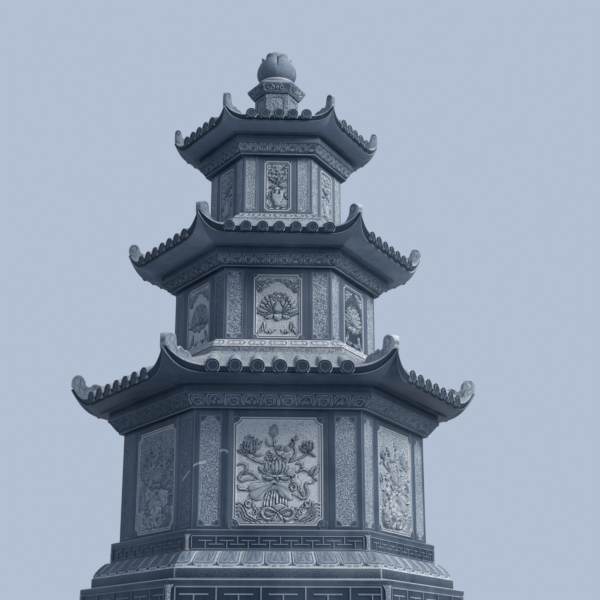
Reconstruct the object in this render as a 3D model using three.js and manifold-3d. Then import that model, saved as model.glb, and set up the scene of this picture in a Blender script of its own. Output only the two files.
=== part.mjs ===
import * as THREE from 'three';
import { mergeVertices } from 'three/addons/utils/BufferGeometryUtils.js';
import Module from 'manifold-3d';

// A free-standing carved stone pagoda on a hexagonal plan, three storeys under three
// upturned roofs. Millimetres, +Z up, the origin on the ground under its middle.
// One face of the hexagon looks towards -Y, so the corners lie on the X axis.
// Every radius is a corner radius, which on a hexagon is also the length of a side.

const FACES = 6;
const APOTHEM = Math.cos(Math.PI / FACES);
const JOINT = 0.3;

// Heights of the bed joints, from the ground up
const PLINTH_TOP = 188;
const LOWER_LOTUS_TOP = 390;
const LOWER_FRET_TOP = 652;
const UPPER_LOTUS_TOP = 850;
const WALL_1_BASE = 1000;

// Radii of the base courses
const PLINTH_RADIUS = 1650;
const LOWER_BAND_RADIUS = 1600;
const LOWER_FRET_RADIUS = 1486;
const UPPER_BAND_RADIUS = 1405;
const UPPER_FRET_RADIUS = 1266;
const BAND_HEIGHT = 82;
const LEDGE = 12;

// The storeys: the wall's corner radius and height, and the wall's make-up
const STOREYS = [
  { base: WALL_1_BASE, radius: 1200, height: 857, thickness: 130, pilaster: 243 },
  { base: 2452, radius: 824, height: 588, thickness: 110, pilaster: 175 },
  { base: 3582, radius: 553, height: 502, thickness: 95 },
];

// Each cornice leans out from the wall's top, with a recess under the eaves
const CORNICES = [
  { footRadius: 1246, topRadius: 1338, height: 155, recess: 28 },
  { footRadius: 872, topRadius: 957, height: 132, recess: 26 },
  { footRadius: 606, topRadius: 670, height: 150, recess: 40 },
];
const BAND_SHARE = 0.75;

// Each roof: its soffit's step, the lip of its eaves at mid face and at the corners, and the
// edge of the tiles over it. The tiled slope runs straight from a flare near the edge to a
// bend and on to its head. A hip ridge ends in a scroll at each tip. A roll's height is that
// of its middle at the eave, and it rises more gently than the slope until it sinks in.
const ROOFS = [
  {
    stepRadius: 1400, stepHeight: 16,
    lipApothem: 1366, lipZ: 2040, tipRadius: 1640, tipZ: 2211, lipHeight: 14,
    edgeApothem: 1394, edgeZ: 2092, edgeRise: 30, flareRadius: 1444,
    bendRadius: 1236, bendZ: 2222, headRadius: 985, headZ: 2337, openRadius: 697,
    ridge: {
      width: 55, foot: 1287, scrollRadius: 53, scrollTop: 2338,
      hollow: { x: 1489, z: 2233 }, hump: { x: 1444, z: 2264 }, tail: { x: 1316, z: 2236 },
    },
    rolls: { count: 7, pitch: 157, radius: 57, reach: 1410, z: 2090, rise: 0.33, end: 875 },
  },
  {
    stepRadius: 998, stepHeight: 16,
    lipApothem: 1030, lipZ: 3208, tipRadius: 1228, tipZ: 3362, lipHeight: 13,
    edgeApothem: 1059, edgeZ: 3262, edgeRise: 22, flareRadius: 1060,
    bendRadius: 860, bendZ: 3402, headRadius: 702, headZ: 3494, openRadius: 443,
    ridge: {
      width: 48, foot: 975, scrollRadius: 44, scrollTop: 3462,
      hollow: { x: 1089, z: 3372 }, hump: { x: 1060, z: 3362 }, tail: { x: 1010, z: 3357 },
    },
    rolls: { count: 7, pitch: 126, radius: 48, reach: 1075, z: 3254, rise: 0.36, end: 670 },
  },
  {
    stepRadius: 704, stepHeight: 16,
    lipApothem: 732, lipZ: 4284, tipRadius: 878, tipZ: 4392, lipHeight: 14,
    edgeApothem: 755, edgeZ: 4327, edgeRise: 16, flareRadius: 740,
    bendRadius: 520, bendZ: 4440, headRadius: 215, headZ: 4560, openRadius: 120,
    ridge: {
      width: 46, foot: 620, scrollRadius: 28, scrollTop: 4524,
      hollow: { x: 782, z: 4428 }, hump: { x: 740, z: 4450 }, tail: { x: 645, z: 4440 },
    },
    rolls: { count: 5, pitch: 111, radius: 50, reach: 769, z: 4335, rise: 0.27, end: 265 },
  },
];

// A roll is round apart from its flat underside, which spans the rest of the turn
const ROLL_START = -36;
const ROLL_END = 216;
const ROLL_STEPS = 9;

// The corner sweep: an eave is level over this share of a face, then lifts to its tip
const LEVEL_SHARE = 0.5;
const LIFT_POWER = 4;
const EAVE_STEPS = [-1, -0.94, -0.87, -0.78, -0.6, 0.6, 0.78, 0.87, 0.94];

// Platforms under storeys 2 and 3: an upright waist, then a band that leans in
const PLATFORMS = [
  { waistRadius: 966, waistHeight: 42, bandRadius: 974, bandTop: 930, bandHeight: 62, topRadius: 870 },
  { waistRadius: 680, waistHeight: 8, bandRadius: 688, bandTop: 590, bandHeight: 73, topRadius: 575 },
];

// The finial: neck, flared cap, and a lotus bud
const NECK = { radius: 188, top: 4820 };
const CAP = { footRadius: 204, rimRadius: 258, rimZ: 4892, rimHeight: 20, headRadius: 152, top: 4985 };
const BUD = { radius: 167, foot: 120, widest: 0.32, height: 322 };

const STONE = {
  dressed: { color: 0x33424f, roughness: 0.55, metalness: 0 },
  carved: { color: 0x8a95a0, roughness: 0.85, metalness: 0 },
};

const wasm = await Module();
wasm.setup();

// One closed body from loops of equally many points. A ring joins its last loop to its
// first; a block is capped by a fan at both ends.
function bodyFromLoops(loops, isRing) {
  const count = loops[0].length;
  const positions = [];
  const index = [];
  for (const loop of loops) {
    for (const point of loop) {
      positions.push(point.x, point.y, point.z);
    }
  }
  const bands = isRing ? loops.length : loops.length - 1;
  for (let band = 0; band < bands; band += 1) {
    const low = band * count;
    const high = ((band + 1) % loops.length) * count;
    for (let i = 0; i < count; i += 1) {
      const next = (i + 1) % count;
      index.push(low + i, low + next, high + next);
      index.push(low + i, high + next, high + i);
    }
  }
  if (!isRing) {
    const last = (loops.length - 1) * count;
    for (let i = 1; i < count - 1; i += 1) {
      index.push(0, i + 1, i);
      index.push(last, last + i, last + i + 1);
    }
  }
  const geometry = new THREE.BufferGeometry();
  geometry.setAttribute('position', new THREE.Float32BufferAttribute(positions, 3));
  geometry.setIndex(index);
  return volumeOf(geometry) < 0 ? turnedInsideOut(geometry) : geometry;
}

function volumeOf(geometry) {
  const points = geometry.getAttribute('position');
  const corners = [new THREE.Vector3(), new THREE.Vector3(), new THREE.Vector3()];
  let volume = 0;
  for (let i = 0; i < geometry.index.count; i += 3) {
    corners.forEach((corner, k) => corner.fromBufferAttribute(points, geometry.index.getX(i + k)));
    volume += corners[0].dot(corners[1].cross(corners[2])) / 6;
  }
  return volume;
}

function turnedInsideOut(geometry) {
  const index = Array.from(geometry.index.array);
  for (let i = 0; i < index.length; i += 3) {
    [index[i + 1], index[i + 2]] = [index[i + 2], index[i + 1]];
  }
  geometry.setIndex(index);
  return geometry;
}

// The six corners of a level hexagon
function hexagon(radius, z) {
  const loop = [];
  for (let k = 0; k < FACES; k += 1) {
    const angle = (k * 2 * Math.PI) / FACES;
    loop.push(new THREE.Vector3(radius * Math.cos(angle), radius * Math.sin(angle), z));
  }
  return loop;
}

function hexagonalBlock(profile) {
  return bodyFromLoops(profile.map(([radius, z]) => hexagon(radius, z)), false);
}

function hexagonalRing(profile) {
  return bodyFromLoops(profile.map(([radius, z]) => hexagon(radius, z)), true);
}

// How much of the corner's lift an eave has at a share of half the face
function liftAt(share) {
  const past = Math.max(0, (Math.abs(share) - LEVEL_SHARE) / (1 - LEVEL_SHARE));
  return past ** LIFT_POWER;
}

// A six-sided loop that sweeps out and up towards its corners
function sweptLoop({ apothem, z, cornerRadius, cornerZ }) {
  const loop = [];
  for (let face = 0; face < FACES; face += 1) {
    const angle = ((face + 0.5) * 2 * Math.PI) / FACES;
    const outward = new THREE.Vector3(Math.cos(angle), Math.sin(angle), 0);
    const along = new THREE.Vector3(-Math.sin(angle), Math.cos(angle), 0);
    for (const share of EAVE_STEPS) {
      const lift = liftAt(share);
      const reach = THREE.MathUtils.lerp(apothem, cornerRadius * APOTHEM, lift);
      const height = THREE.MathUtils.lerp(z, cornerZ, lift);
      const point = outward.clone().multiplyScalar(reach);
      point.addScaledVector(along, (share * cornerRadius) / 2);
      point.z = height;
      loop.push(point);
    }
  }
  return loop;
}

// A level loop with the same number of points as a swept one
function levelLoop(radius, z) {
  return sweptLoop({ apothem: radius * APOTHEM, z, cornerRadius: radius, cornerZ: z });
}

function solid(geometry) {
  const bare = geometry.clone();
  bare.deleteAttribute('normal');
  bare.deleteAttribute('uv');
  const merged = mergeVertices(bare, 1e-4);
  return new wasm.Manifold(new wasm.Mesh({
    numProp: 3,
    vertProperties: new Float32Array(merged.getAttribute('position').array),
    triVerts: new Uint32Array(merged.index.array),
  }));
}

function geometryOf(body) {
  const mesh = body.getMesh();
  const geometry = new THREE.BufferGeometry();
  geometry.setAttribute('position', new THREE.Float32BufferAttribute(mesh.vertProperties, 3));
  geometry.setIndex(Array.from(mesh.triVerts));
  return geometry;
}

const pagoda = new THREE.Group();
pagoda.name = 'pagoda';

function addPiece(name, geometry, finish, angle = 0) {
  const mesh = new THREE.Mesh(geometry, new THREE.MeshStandardMaterial(STONE[finish]));
  mesh.name = name;
  mesh.rotation.z = angle;
  pagoda.add(mesh);
}

// The base: a plinth slab, then twice a lotus course under a fret course
function addLotusCourse(name, bottom, top, bandRadius, headRadius) {
  addPiece(name, hexagonalBlock([
    [bandRadius, bottom + JOINT],
    [bandRadius, bottom + BAND_HEIGHT],
    [bandRadius - LEDGE, bottom + BAND_HEIGHT],
    [headRadius + LEDGE, top],
  ]), 'carved');
}

function addBase() {
  addPiece('plinth_slab', hexagonalBlock([[PLINTH_RADIUS, 0], [PLINTH_RADIUS, PLINTH_TOP]]), 'dressed');
  addLotusCourse('lower_lotus_course', PLINTH_TOP, LOWER_LOTUS_TOP, LOWER_BAND_RADIUS, LOWER_FRET_RADIUS);
  addPiece('lower_fret_course', hexagonalBlock([
    [LOWER_FRET_RADIUS, LOWER_LOTUS_TOP + JOINT],
    [LOWER_FRET_RADIUS, LOWER_FRET_TOP],
  ]), 'dressed');
  addLotusCourse('upper_lotus_course', LOWER_FRET_TOP, UPPER_LOTUS_TOP, UPPER_BAND_RADIUS, UPPER_FRET_RADIUS);
  addPiece('upper_fret_course', hexagonalBlock([
    [UPPER_FRET_RADIUS, UPPER_LOTUS_TOP + JOINT],
    [UPPER_FRET_RADIUS, WALL_1_BASE - JOINT],
  ]), 'dressed');
}

// A pilaster wraps a corner of the hexagon: it is drawn for the corner on the X axis
function pilasterGeometry({ radius, height, thickness, pilaster }) {
  const corner = new THREE.Vector2(radius, 0);
  const innerCorner = new THREE.Vector2(radius - thickness / APOTHEM, 0);
  const run = new THREE.Vector2(-0.5, APOTHEM).multiplyScalar(pilaster);
  const inward = new THREE.Vector2(-APOTHEM, -0.5).multiplyScalar(thickness);
  const end = corner.clone().add(run);
  const innerEnd = end.clone().add(inward);
  const mirrored = (point) => new THREE.Vector2(point.x, -point.y);
  const outline = [corner, end, innerEnd, innerCorner, mirrored(innerEnd), mirrored(end)];
  const options = { depth: height - JOINT, bevelEnabled: false };
  return new THREE.ExtrudeGeometry(new THREE.Shape(outline), options);
}

// A panel stands between two pilasters: it is drawn for the face that looks along +X
function panelGeometry({ radius, height, thickness, pilaster }) {
  const width = radius - 2 * pilaster - 2 * JOINT;
  const geometry = new THREE.BoxGeometry(thickness, width, height - JOINT);
  const middle = radius * APOTHEM - thickness / 2;
  return geometry.translate(middle, 0, (height - JOINT) / 2);
}

const FACE_NAMES = ['right_back', 'back', 'left_back', 'left_front', 'front', 'right_front'];
const CORNER_NAMES = ['right', 'back_right', 'back_left', 'left', 'front_left', 'front_right'];

function addWall(storey, number) {
  for (let k = 0; k < FACES; k += 1) {
    const corner = pilasterGeometry(storey).translate(0, 0, storey.base);
    addPiece(`pilaster_${number}_${CORNER_NAMES[k]}`, corner, 'dressed', (k * 2 * Math.PI) / FACES);
    const panel = panelGeometry(storey).translate(0, 0, storey.base);
    addPiece(`panel_${number}_${FACE_NAMES[k]}`, panel, 'carved', ((k + 0.5) * 2 * Math.PI) / FACES);
  }
}

function addHollowWall({ base, radius, height, thickness }, number) {
  const inner = radius - thickness / APOTHEM;
  addPiece(`wall_${number}`, hexagonalRing([
    [radius, base],
    [radius, base + height - JOINT],
    [inner, base + height - JOINT],
    [inner, base],
  ]), 'carved');
}

function wallTop(storey) {
  return storey.base + storey.height;
}

function addCornice(storey, { footRadius, topRadius, height, recess }, number) {
  const bottom = wallTop(storey);
  const bandTop = height - recess;
  const inner = storey.radius - storey.thickness / APOTHEM;
  addPiece(`cornice_${number}`, hexagonalRing([
    [inner, bottom],
    [footRadius, bottom],
    [footRadius, bottom + LEDGE],
    [topRadius - LEDGE, bandTop * BAND_SHARE + bottom],
    [topRadius, bandTop * BAND_SHARE + bottom],
    [topRadius, bottom + bandTop],
    [storey.radius, bottom + bandTop],
    [storey.radius, bottom + height - JOINT],
    [inner, bottom + height - JOINT],
  ]), 'carved');
}

// The eaves course: a flat bed on the cornice, a step, a cove and the swept lip
function addEaves(storey, cornice, roof, number) {
  const bed = wallTop(storey) + cornice.height;
  const inner = storey.radius - storey.thickness / APOTHEM;
  const cove = { apothem: roof.lipApothem, z: roof.lipZ, cornerRadius: roof.tipRadius, cornerZ: roof.tipZ };
  const lip = { ...cove, z: cove.z + roof.lipHeight, cornerZ: cove.cornerZ + roof.lipHeight };
  const middle = {
    apothem: (roof.stepRadius * APOTHEM + cove.apothem) / 2 + LEDGE,
    z: THREE.MathUtils.lerp(bed + roof.stepHeight, cove.z, 0.35),
    cornerRadius: (roof.stepRadius + cove.cornerRadius) / 2,
    cornerZ: THREE.MathUtils.lerp(bed + roof.stepHeight, cove.cornerZ, 0.32),
  };
  const saddle = { ...middle, z: lip.z, cornerZ: middle.cornerZ + roof.lipHeight + LEDGE };
  const geometry = bodyFromLoops([
    levelLoop(inner, bed),
    levelLoop(roof.stepRadius, bed),
    levelLoop(roof.stepRadius, bed + roof.stepHeight),
    sweptLoop(middle),
    sweptLoop(cove),
    sweptLoop(lip),
    sweptLoop(saddle),
    levelLoop(inner, lip.z),
  ], true);
  addPiece(`eaves_${number}`, geometry, 'dressed');
  return { lip, saddle, inner, body: solid(geometry) };
}

// The side of a hip ridge: it rises from the slope, dips, then curls up into a scroll
function hipGeometry({ tipRadius, lipHeight, bendRadius, bendZ, ridge }, { lip, saddle }) {
  const { scrollRadius, scrollTop, hollow, hump, tail } = ridge;
  const disc = { x: tipRadius - scrollRadius, z: scrollTop - scrollRadius };
  const shape = new THREE.Shape();
  shape.moveTo(bendRadius, bendZ - 5 * LEDGE);
  shape.lineTo(saddle.cornerRadius, saddle.cornerZ - LEDGE);
  shape.lineTo(tipRadius - 2 * LEDGE, lip.cornerZ - lipHeight / 2);
  shape.lineTo(tipRadius, lip.cornerZ + LEDGE);
  shape.lineTo(tipRadius, disc.z);
  shape.absarc(disc.x, disc.z, scrollRadius, 0, Math.PI, false);
  shape.quadraticCurveTo(disc.x - scrollRadius, hollow.z, hollow.x, hollow.z);
  shape.quadraticCurveTo((hollow.x + hump.x) / 2, hump.z, hump.x, hump.z);
  shape.lineTo(tail.x, tail.z);
  shape.lineTo(ridge.foot, tail.z - 4 * LEDGE);
  const options = { depth: ridge.width, bevelEnabled: false, curveSegments: 5 };
  const geometry = new THREE.ExtrudeGeometry(shape, options);
  return geometry.translate(0, 0, -ridge.width / 2).rotateX(Math.PI / 2);
}

// A tile roll, drawn for the face that looks along +X. It ends under the slope, or just
// past the hip where that comes first.
function rollGeometry({ radius, reach, z, rise, end }, middle) {
  const front = [];
  const back = [];
  for (let i = 0; i <= ROLL_STEPS; i += 1) {
    const angle = THREE.MathUtils.degToRad(THREE.MathUtils.lerp(ROLL_START, ROLL_END, i / ROLL_STEPS));
    const along = middle + radius * Math.cos(angle);
    const height = z + radius * Math.sin(angle);
    const hip = 2 * APOTHEM * Math.abs(along) - LEDGE / 2;
    const stop = Math.max(end, hip);
    front.push(new THREE.Vector3(reach, along, height));
    back.push(new THREE.Vector3(stop, along, height + (reach - stop) * rise));
  }
  return bodyFromLoops([front, back], false);
}

// The slope's top from its swept edge over the lip, and its underside within the eaves
function slopeGeometry(roof, { lip, saddle, inner }) {
  const sunk = { ...lip, apothem: lip.apothem - LEDGE, cornerRadius: lip.cornerRadius - LEDGE };
  const flareApothem = roof.flareRadius * APOTHEM;
  const bendApothem = roof.bendRadius * APOTHEM;
  const share = (roof.edgeApothem - flareApothem) / (roof.edgeApothem - bendApothem);
  return bodyFromLoops([
    levelLoop(roof.openRadius, lip.z + 1),
    levelLoop(inner, lip.z + 1),
    sweptLoop(lowered(saddle)),
    sweptLoop(lowered(sunk)),
    sweptLoop({
      apothem: roof.edgeApothem, z: roof.edgeZ,
      cornerRadius: roof.tipRadius, cornerZ: lip.cornerZ + roof.edgeRise,
    }),
    levelLoop(roof.flareRadius, THREE.MathUtils.lerp(roof.edgeZ, roof.bendZ, share)),
    levelLoop(roof.bendRadius, roof.bendZ),
    levelLoop(roof.headRadius, roof.headZ),
    levelLoop(roof.openRadius, roof.headZ),
  ], true);
}

function lowered(loop) {
  return { ...loop, z: loop.z - LEDGE / 2, cornerZ: loop.cornerZ - LEDGE / 2 };
}

// The tiled slope bedded on the eaves, with its rolls and a hip ridge on each corner
function addTiles(roof, eaves, number) {
  const { rolls } = roof;
  const ridge = hipGeometry(roof, eaves);
  let body = solid(slopeGeometry(roof, eaves));
  for (let k = 0; k < FACES; k += 1) {
    body = body.add(solid(ridge.clone().rotateZ((k * 2 * Math.PI) / FACES)));
    for (let i = 0; i < rolls.count; i += 1) {
      const roll = rollGeometry(rolls, (i - (rolls.count - 1) / 2) * rolls.pitch);
      body = body.add(solid(roll.rotateZ(((k + 0.5) * 2 * Math.PI) / FACES)));
    }
  }
  body = body.subtract(eaves.body.translate([0, 0, JOINT]));
  addPiece(`tiles_${number}`, geometryOf(body), 'carved');
}

// A platform carries the next wall on the head of the tiled slope
function addPlatform(roof, storey, platform, number) {
  const bottom = roof.headZ + JOINT;
  const bandFoot = bottom + platform.waistHeight;
  const inner = storey.radius - storey.thickness / APOTHEM;
  addPiece(`platform_${number}`, hexagonalRing([
    [inner, bottom],
    [platform.waistRadius, bottom],
    [platform.waistRadius, bandFoot],
    [platform.bandRadius, bandFoot],
    [platform.bandTop, bandFoot + platform.bandHeight],
    [platform.topRadius, storey.base - JOINT],
    [inner, storey.base - JOINT],
  ]), 'carved');
}

function addFinial(roof) {
  const neckBase = roof.headZ + JOINT;
  addPiece('neck', hexagonalBlock([[NECK.radius, neckBase], [NECK.radius, NECK.top]]), 'carved');
  addPiece('cap', hexagonalBlock([
    [CAP.footRadius, NECK.top + JOINT],
    [CAP.rimRadius, CAP.rimZ],
    [CAP.rimRadius, CAP.rimZ + CAP.rimHeight],
    [CAP.headRadius, CAP.top],
  ]), 'carved');
  addPiece('lotus_bud', budGeometry(), 'carved');
}

// The bud: an almost round body that closes into a soft point
function budGeometry() {
  const bottom = CAP.top + JOINT;
  const widest = bottom + BUD.widest * BUD.height;
  const shape = new THREE.Shape();
  shape.moveTo(0, bottom);
  shape.lineTo(BUD.foot, bottom);
  shape.quadraticCurveTo(BUD.radius, bottom + LEDGE, BUD.radius, widest);
  shape.bezierCurveTo(
    BUD.radius, widest + 0.32 * BUD.height,
    0.5 * BUD.radius, bottom + 0.88 * BUD.height,
    0, bottom + BUD.height,
  );
  const geometry = new THREE.LatheGeometry(shape.getPoints(6), 24);
  return geometry.rotateX(Math.PI / 2);
}

addBase();
STOREYS.forEach((storey, i) => {
  const number = i + 1;
  if (i > 0) {
    addPlatform(ROOFS[i - 1], storey, PLATFORMS[i - 1], number);
  }
  if (storey.pilaster) {
    addWall(storey, number);
  } else {
    addHollowWall(storey, number);
  }
  addCornice(storey, CORNICES[i], number);
  const eaves = addEaves(storey, CORNICES[i], ROOFS[i], number);
  addTiles(ROOFS[i], eaves, number);
});
addFinial(ROOFS[2]);

export default pagoda;
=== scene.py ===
"""The looks of a carved stone pagoda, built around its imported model.

Shapes are worked out in millimetres in the frame's axes, and become metres when a mesh is
made. A face of the hexagon has axes of its own: u along it to the right as seen from
outside, w out from the middle of the plan, and z up.
"""

import math

import bmesh
import bpy
import numpy as np
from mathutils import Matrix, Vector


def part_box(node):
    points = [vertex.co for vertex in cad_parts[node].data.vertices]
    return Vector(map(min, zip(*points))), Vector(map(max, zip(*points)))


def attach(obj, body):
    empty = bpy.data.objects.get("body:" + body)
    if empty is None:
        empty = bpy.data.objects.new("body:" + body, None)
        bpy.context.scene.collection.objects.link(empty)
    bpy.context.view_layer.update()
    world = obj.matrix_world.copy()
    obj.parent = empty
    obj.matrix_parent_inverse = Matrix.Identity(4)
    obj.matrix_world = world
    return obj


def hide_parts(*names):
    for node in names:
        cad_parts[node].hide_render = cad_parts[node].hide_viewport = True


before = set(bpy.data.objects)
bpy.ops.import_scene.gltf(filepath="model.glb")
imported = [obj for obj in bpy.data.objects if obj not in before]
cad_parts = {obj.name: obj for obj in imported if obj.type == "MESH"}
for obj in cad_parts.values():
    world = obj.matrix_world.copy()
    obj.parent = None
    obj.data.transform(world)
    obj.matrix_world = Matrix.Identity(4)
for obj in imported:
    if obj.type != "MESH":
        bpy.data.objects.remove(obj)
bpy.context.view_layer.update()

FACES = 6
TURN = 2 * math.pi / FACES
APOTHEM = math.cos(math.pi / FACES)
HALF_SIDE = math.tan(math.pi / FACES)
METRE = 1000
JOINT = 0.3
FACE_NAMES = ["right_back", "back", "left_back", "left_front", "front", "right_front"]
CORNER_NAMES = ["right", "back_right", "back_left", "left", "front_left", "front_right"]

# Tones run from 0, dark honed stone, to 1, chalk-pale dressed stone
DEEP = 0.0
HONED = 0.13
# Pale arrises: wear, and a painted highlight
ARRIS_WEAR_AND_HIGHLIGHT = 0.75
CHALK = 1.0


def table(names, *rows):
    """One dictionary a row of values."""
    return [dict(zip(names.split(), row)) for row in rows]


# The carved base
PLINTH_RADIUS = 1650
LOWER_BAND_RADIUS = 1600
LOWER_FRET_RADIUS = 1486
UPPER_BAND_RADIUS = 1405
UPPER_FRET_RADIUS = 1266
BAND_HEIGHT = 82
LEDGE = 12
PETAL_WIDTH = 165
MIDDLE_PETAL = 190
FRETS = table(
    "radius levels first pitch thick end crown",
    (LOWER_FRET_RADIUS, (32, 92, 162, 211), -416, 299, 12, 52, CHALK),
    (UPPER_FRET_RADIUS, (16, 48, 73, 104), -428, 148.3, 8, 36, 0.45),
)

# Painted light and shade: how much paler faces are painted, by their side of the pagoda, and hip ridges, by
# corner; below 0 they are painted darker
EVEN = {}
BASE_PAINTED_SHADING = {"left": -0.22}
FRET_PAINTED_SHADING = {"left": -0.11}
CORNICE_PAINTED_SHADING = {"left": -0.132}
NARROW_PAINTED_SHADING = {"left": -0.32, "front": -0.04}
PANEL_PAINTED_SHADING = [{"front": 0.38, "left": -0.2}, {"front": 0.14, "left": 0.3, "right": -0.7}]
SOFFIT_PAINTED_SHADING = [{"right": -0.12}, {"left": 0.16, "right": 0.2}, EVEN]
HIP_PAINTED_SHADING = {"left": 0.2, "front_right": 0.14}

# From the lowest storey up: the tone of the walls' honed borders, the width of a pilaster's
# leaf, the carved frames on pilasters and panels, and the cornices
BORDER_TONES = [HONED, 0.18, 0.25]
PILASTER_WIDTHS = [243, 175, 127]
NARROW_PANELS = table(
    "near far foot head notch",
    (411, 556, 33, 810, 44),
    (272, 388, 30, 556, 36),
    (172, 256, 26, 494, 26),
)
FRAMES = table(
    "half foot head notch bead streak",
    (318, 32, 803, 46, 0.5, 0.24),
    (185, 26, 538, 30, 0.15, 0.0),
    (108, 26, 462, 20, 0.05, 0.0),
)
CORNICES = table(
    "foot top band unit",
    (1246, 1338, 127, 125),
    (872, 957, 106, 84),
    (606, 670, 110, 84),
)
BAND_SHARE = 0.75
BEVEL = 3.5
SLAB_DEPTH = 60
GROUND_INSET = 22
WALL_THICKNESS = 120
# Pale scratches across the lowest storey's front left corner piece, by face
SCRATCHES = {
    "front": [
        [(602, 447), (580, 462), (556, 470), (532, 474), (516, 484)],
        [(408, 556), (392, 564), (374, 562), (358, 548)],
    ],
    "left_front": [[(534, 421), (504, 410), (470, 389), (430, 370)]],
}

# The roofs' eaves and slopes, their hip ridges, and the rolls of their tiles
ROOFS = table(
    "step lip lip_z tip tip_z lip_height edge edge_z edge_rise "
    "flare bend bend_z kerb head head_z open soffit",
    (1400, 1366, 2040, 1640, 2211, 14, 1394, 2092, 30, 1444, 1236, 2222, 20, 985, 2337, 697, 0.2),
    (998, 1030, 3208, 1228, 3362, 13, 1059, 3262, 22, 1060, 860, 3402, 20, 702, 3494, 443, 0.36),
    (704, 732, 4284, 878, 4392, 14, 755, 4327, 16, 740, 520, 4440, 10, 215, 4560, 120, 0.42),
)
RIDGES = table(
    "width thick foot scroll top curls shade hollow hump tail",
    (55, 104, 1287, 53, 2333, True, -0.04, (1489, 2233), (1444, 2264), (1316, 2236)),
    (48, 92, 975, 44, 3462, False, -0.16, (1089, 3372), (1060, 3362), (1010, 3357)),
    (46, 62, 620, 28, 4524, False, -0.26, (782, 4428), (740, 4450), (645, 4440)),
)
ROLLS = table(
    "count pitch radius disc tones reach z rise end",
    (7, 157, 57, 50, (-0.4, -0.1, 0.42), 1397, 2094, 0.33, 875),
    (7, 126, 48, 42, (-0.3, 0.0, 0.45), 1061, 3260, 0.36, 670),
    (5, 111, 50, 43, (-0.06, 0.04, 0.55), 758, 4341, 0.27, 265),
)
STEP_HEIGHT = 16
LEVEL_SHARE = 0.5
LIFT_POWER = 4

# The second and the third storey's platforms
PLATFORMS = table(
    "waist waist_height band band_top band_height top pitch shade",
    (966, 42, 974, 930, 62, 870, 160, 0.1),
    (680, 8, 688, 590, 73, 575, 92, -0.26),
)
NECK_RADIUS = 188
CAP = {"foot": 204, "rim": 258, "rim_z": 4892, "rim_height": 20, "head": 152}
BUD_HEIGHT = 322
BUD_RADII = [118, 141, 159, 169, 173, 173, 170, 164, 156, 146, 135, 122, 110]
BUD_SHOULDER = 250

CAMERA_PLACE = (-0.2493, -9.3908, 0.1206)
CAMERA_TURN = math.radians(2.776)
CAMERA_RISE = math.radians(17.0605)
CAMERA_LENS = 70.785
SENSOR = 36
FLOOR_SIZE = 60
LIGHT_PLACE = (9.5, -6.0, 9.5)
LIGHT_AIM = (0, 0, 2.6)
LIGHT_SIZE = 5.0
LIGHT_WATTS = 2400


def box_of(node):
    low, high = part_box(node)
    return np.array(low) * METRE, np.array(high) * METRE


def storeys_from_frame():
    """Each storey's corner radius, foot and head, read from its corner pieces."""
    found = []
    for node, border in zip(("pilaster_1_right", "pilaster_2_right", "wall_3"), BORDER_TONES):
        low, high = box_of(node)
        found.append({"radius": high[0], "base": low[2], "head": high[2], "border": border})
    return found


STOREYS = storeys_from_frame()


def painted_side_shading(painted_shading, face):
    """A face's painted light and shade, which is kept by its side: front, left, right or back."""
    return painted_shading.get(FACE_NAMES[face].split("_")[0], 0.0)


def blend(first, second, share):
    return first + (second - first) * share


def fade(gap, width):
    """1 where the gap is 0, and less and less over the width."""
    return np.exp(-((gap / width) ** 2))


# Meshes

class Shape:
    """Points and faces, with a tone and a grain for each corner of a face."""

    def __init__(self):
        self.points = []
        self.faces = []
        self.tones = []
        self.grains = []
        self.count = 0

    def add(self, points, faces, tone, grain=0.0):
        """tone and grain are one number, one for each point, or a column with one a face."""
        points = np.asarray(points, float).reshape(-1, 3)
        for kept, value in ((self.tones, tone), (self.grains, grain)):
            value = np.asarray(value, float)
            if value.ndim == 1:
                value = value[faces]
            kept.append(np.broadcast_to(value, faces.shape).ravel())
        self.points.append(points)
        self.faces.append(faces + self.count)
        self.count += len(points)

    def link(self, start, faces, tone, grain=0.0):
        """More faces between points that it holds, numbered from start."""
        faces = np.asarray(faces, int) + start
        self.faces.append(faces)
        self.tones.append(np.full(faces.size, float(tone)))
        self.grains.append(np.full(faces.size, float(grain)))

    def make(self, node, ending, slot, sharp):
        """The finished piece, which stands for a node of the frame."""
        name = f"{node}_{ending}"
        mesh = bpy.data.meshes.new(name)
        points = np.concatenate(self.points) / METRE
        mesh.vertices.add(len(points))
        mesh.vertices.foreach_set("co", points.ravel())
        loops = np.concatenate([faces.ravel() for faces in self.faces])
        sizes = np.concatenate([np.full(len(faces), faces.shape[1]) for faces in self.faces])
        mesh.loops.add(len(loops))
        mesh.loops.foreach_set("vertex_index", loops)
        mesh.polygons.add(len(sizes))
        mesh.polygons.foreach_set("loop_start", np.cumsum(sizes) - sizes)
        for key, values in (("tone", self.tones), ("grain", self.grains)):
            attribute = mesh.attributes.new(key, "FLOAT", "CORNER")
            attribute.data.foreach_set("value", np.concatenate(values))
        mesh.update(calc_edges=True)
        turn_outward(mesh)
        mesh.polygons.foreach_set("use_smooth", np.ones(len(mesh.polygons), bool))
        mesh.set_sharp_from_angle(angle=math.radians(sharp))
        mesh.materials.append(MATERIALS[slot])
        piece = bpy.data.objects.new(name, mesh)
        bpy.context.scene.collection.objects.link(piece)
        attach(piece, "root")
        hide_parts(node)


def turn_outward(mesh):
    edit = bmesh.new()
    edit.from_mesh(mesh)
    bmesh.ops.remove_doubles(edit, verts=edit.verts, dist=1e-6)
    bmesh.ops.recalc_face_normals(edit, faces=edit.faces)
    edit.to_mesh(mesh)
    edit.free()


def on_face(face, u, w, z):
    """Points of the frame from a face's own axes."""
    angle = (face + 0.5) * TURN
    u, w, z = np.broadcast_arrays(*(np.asarray(value, float) for value in (u, w, z)))
    x = w * math.cos(angle) - u * math.sin(angle)
    y = w * math.sin(angle) + u * math.cos(angle)
    return np.stack([x, y, z], axis=-1)


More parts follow.
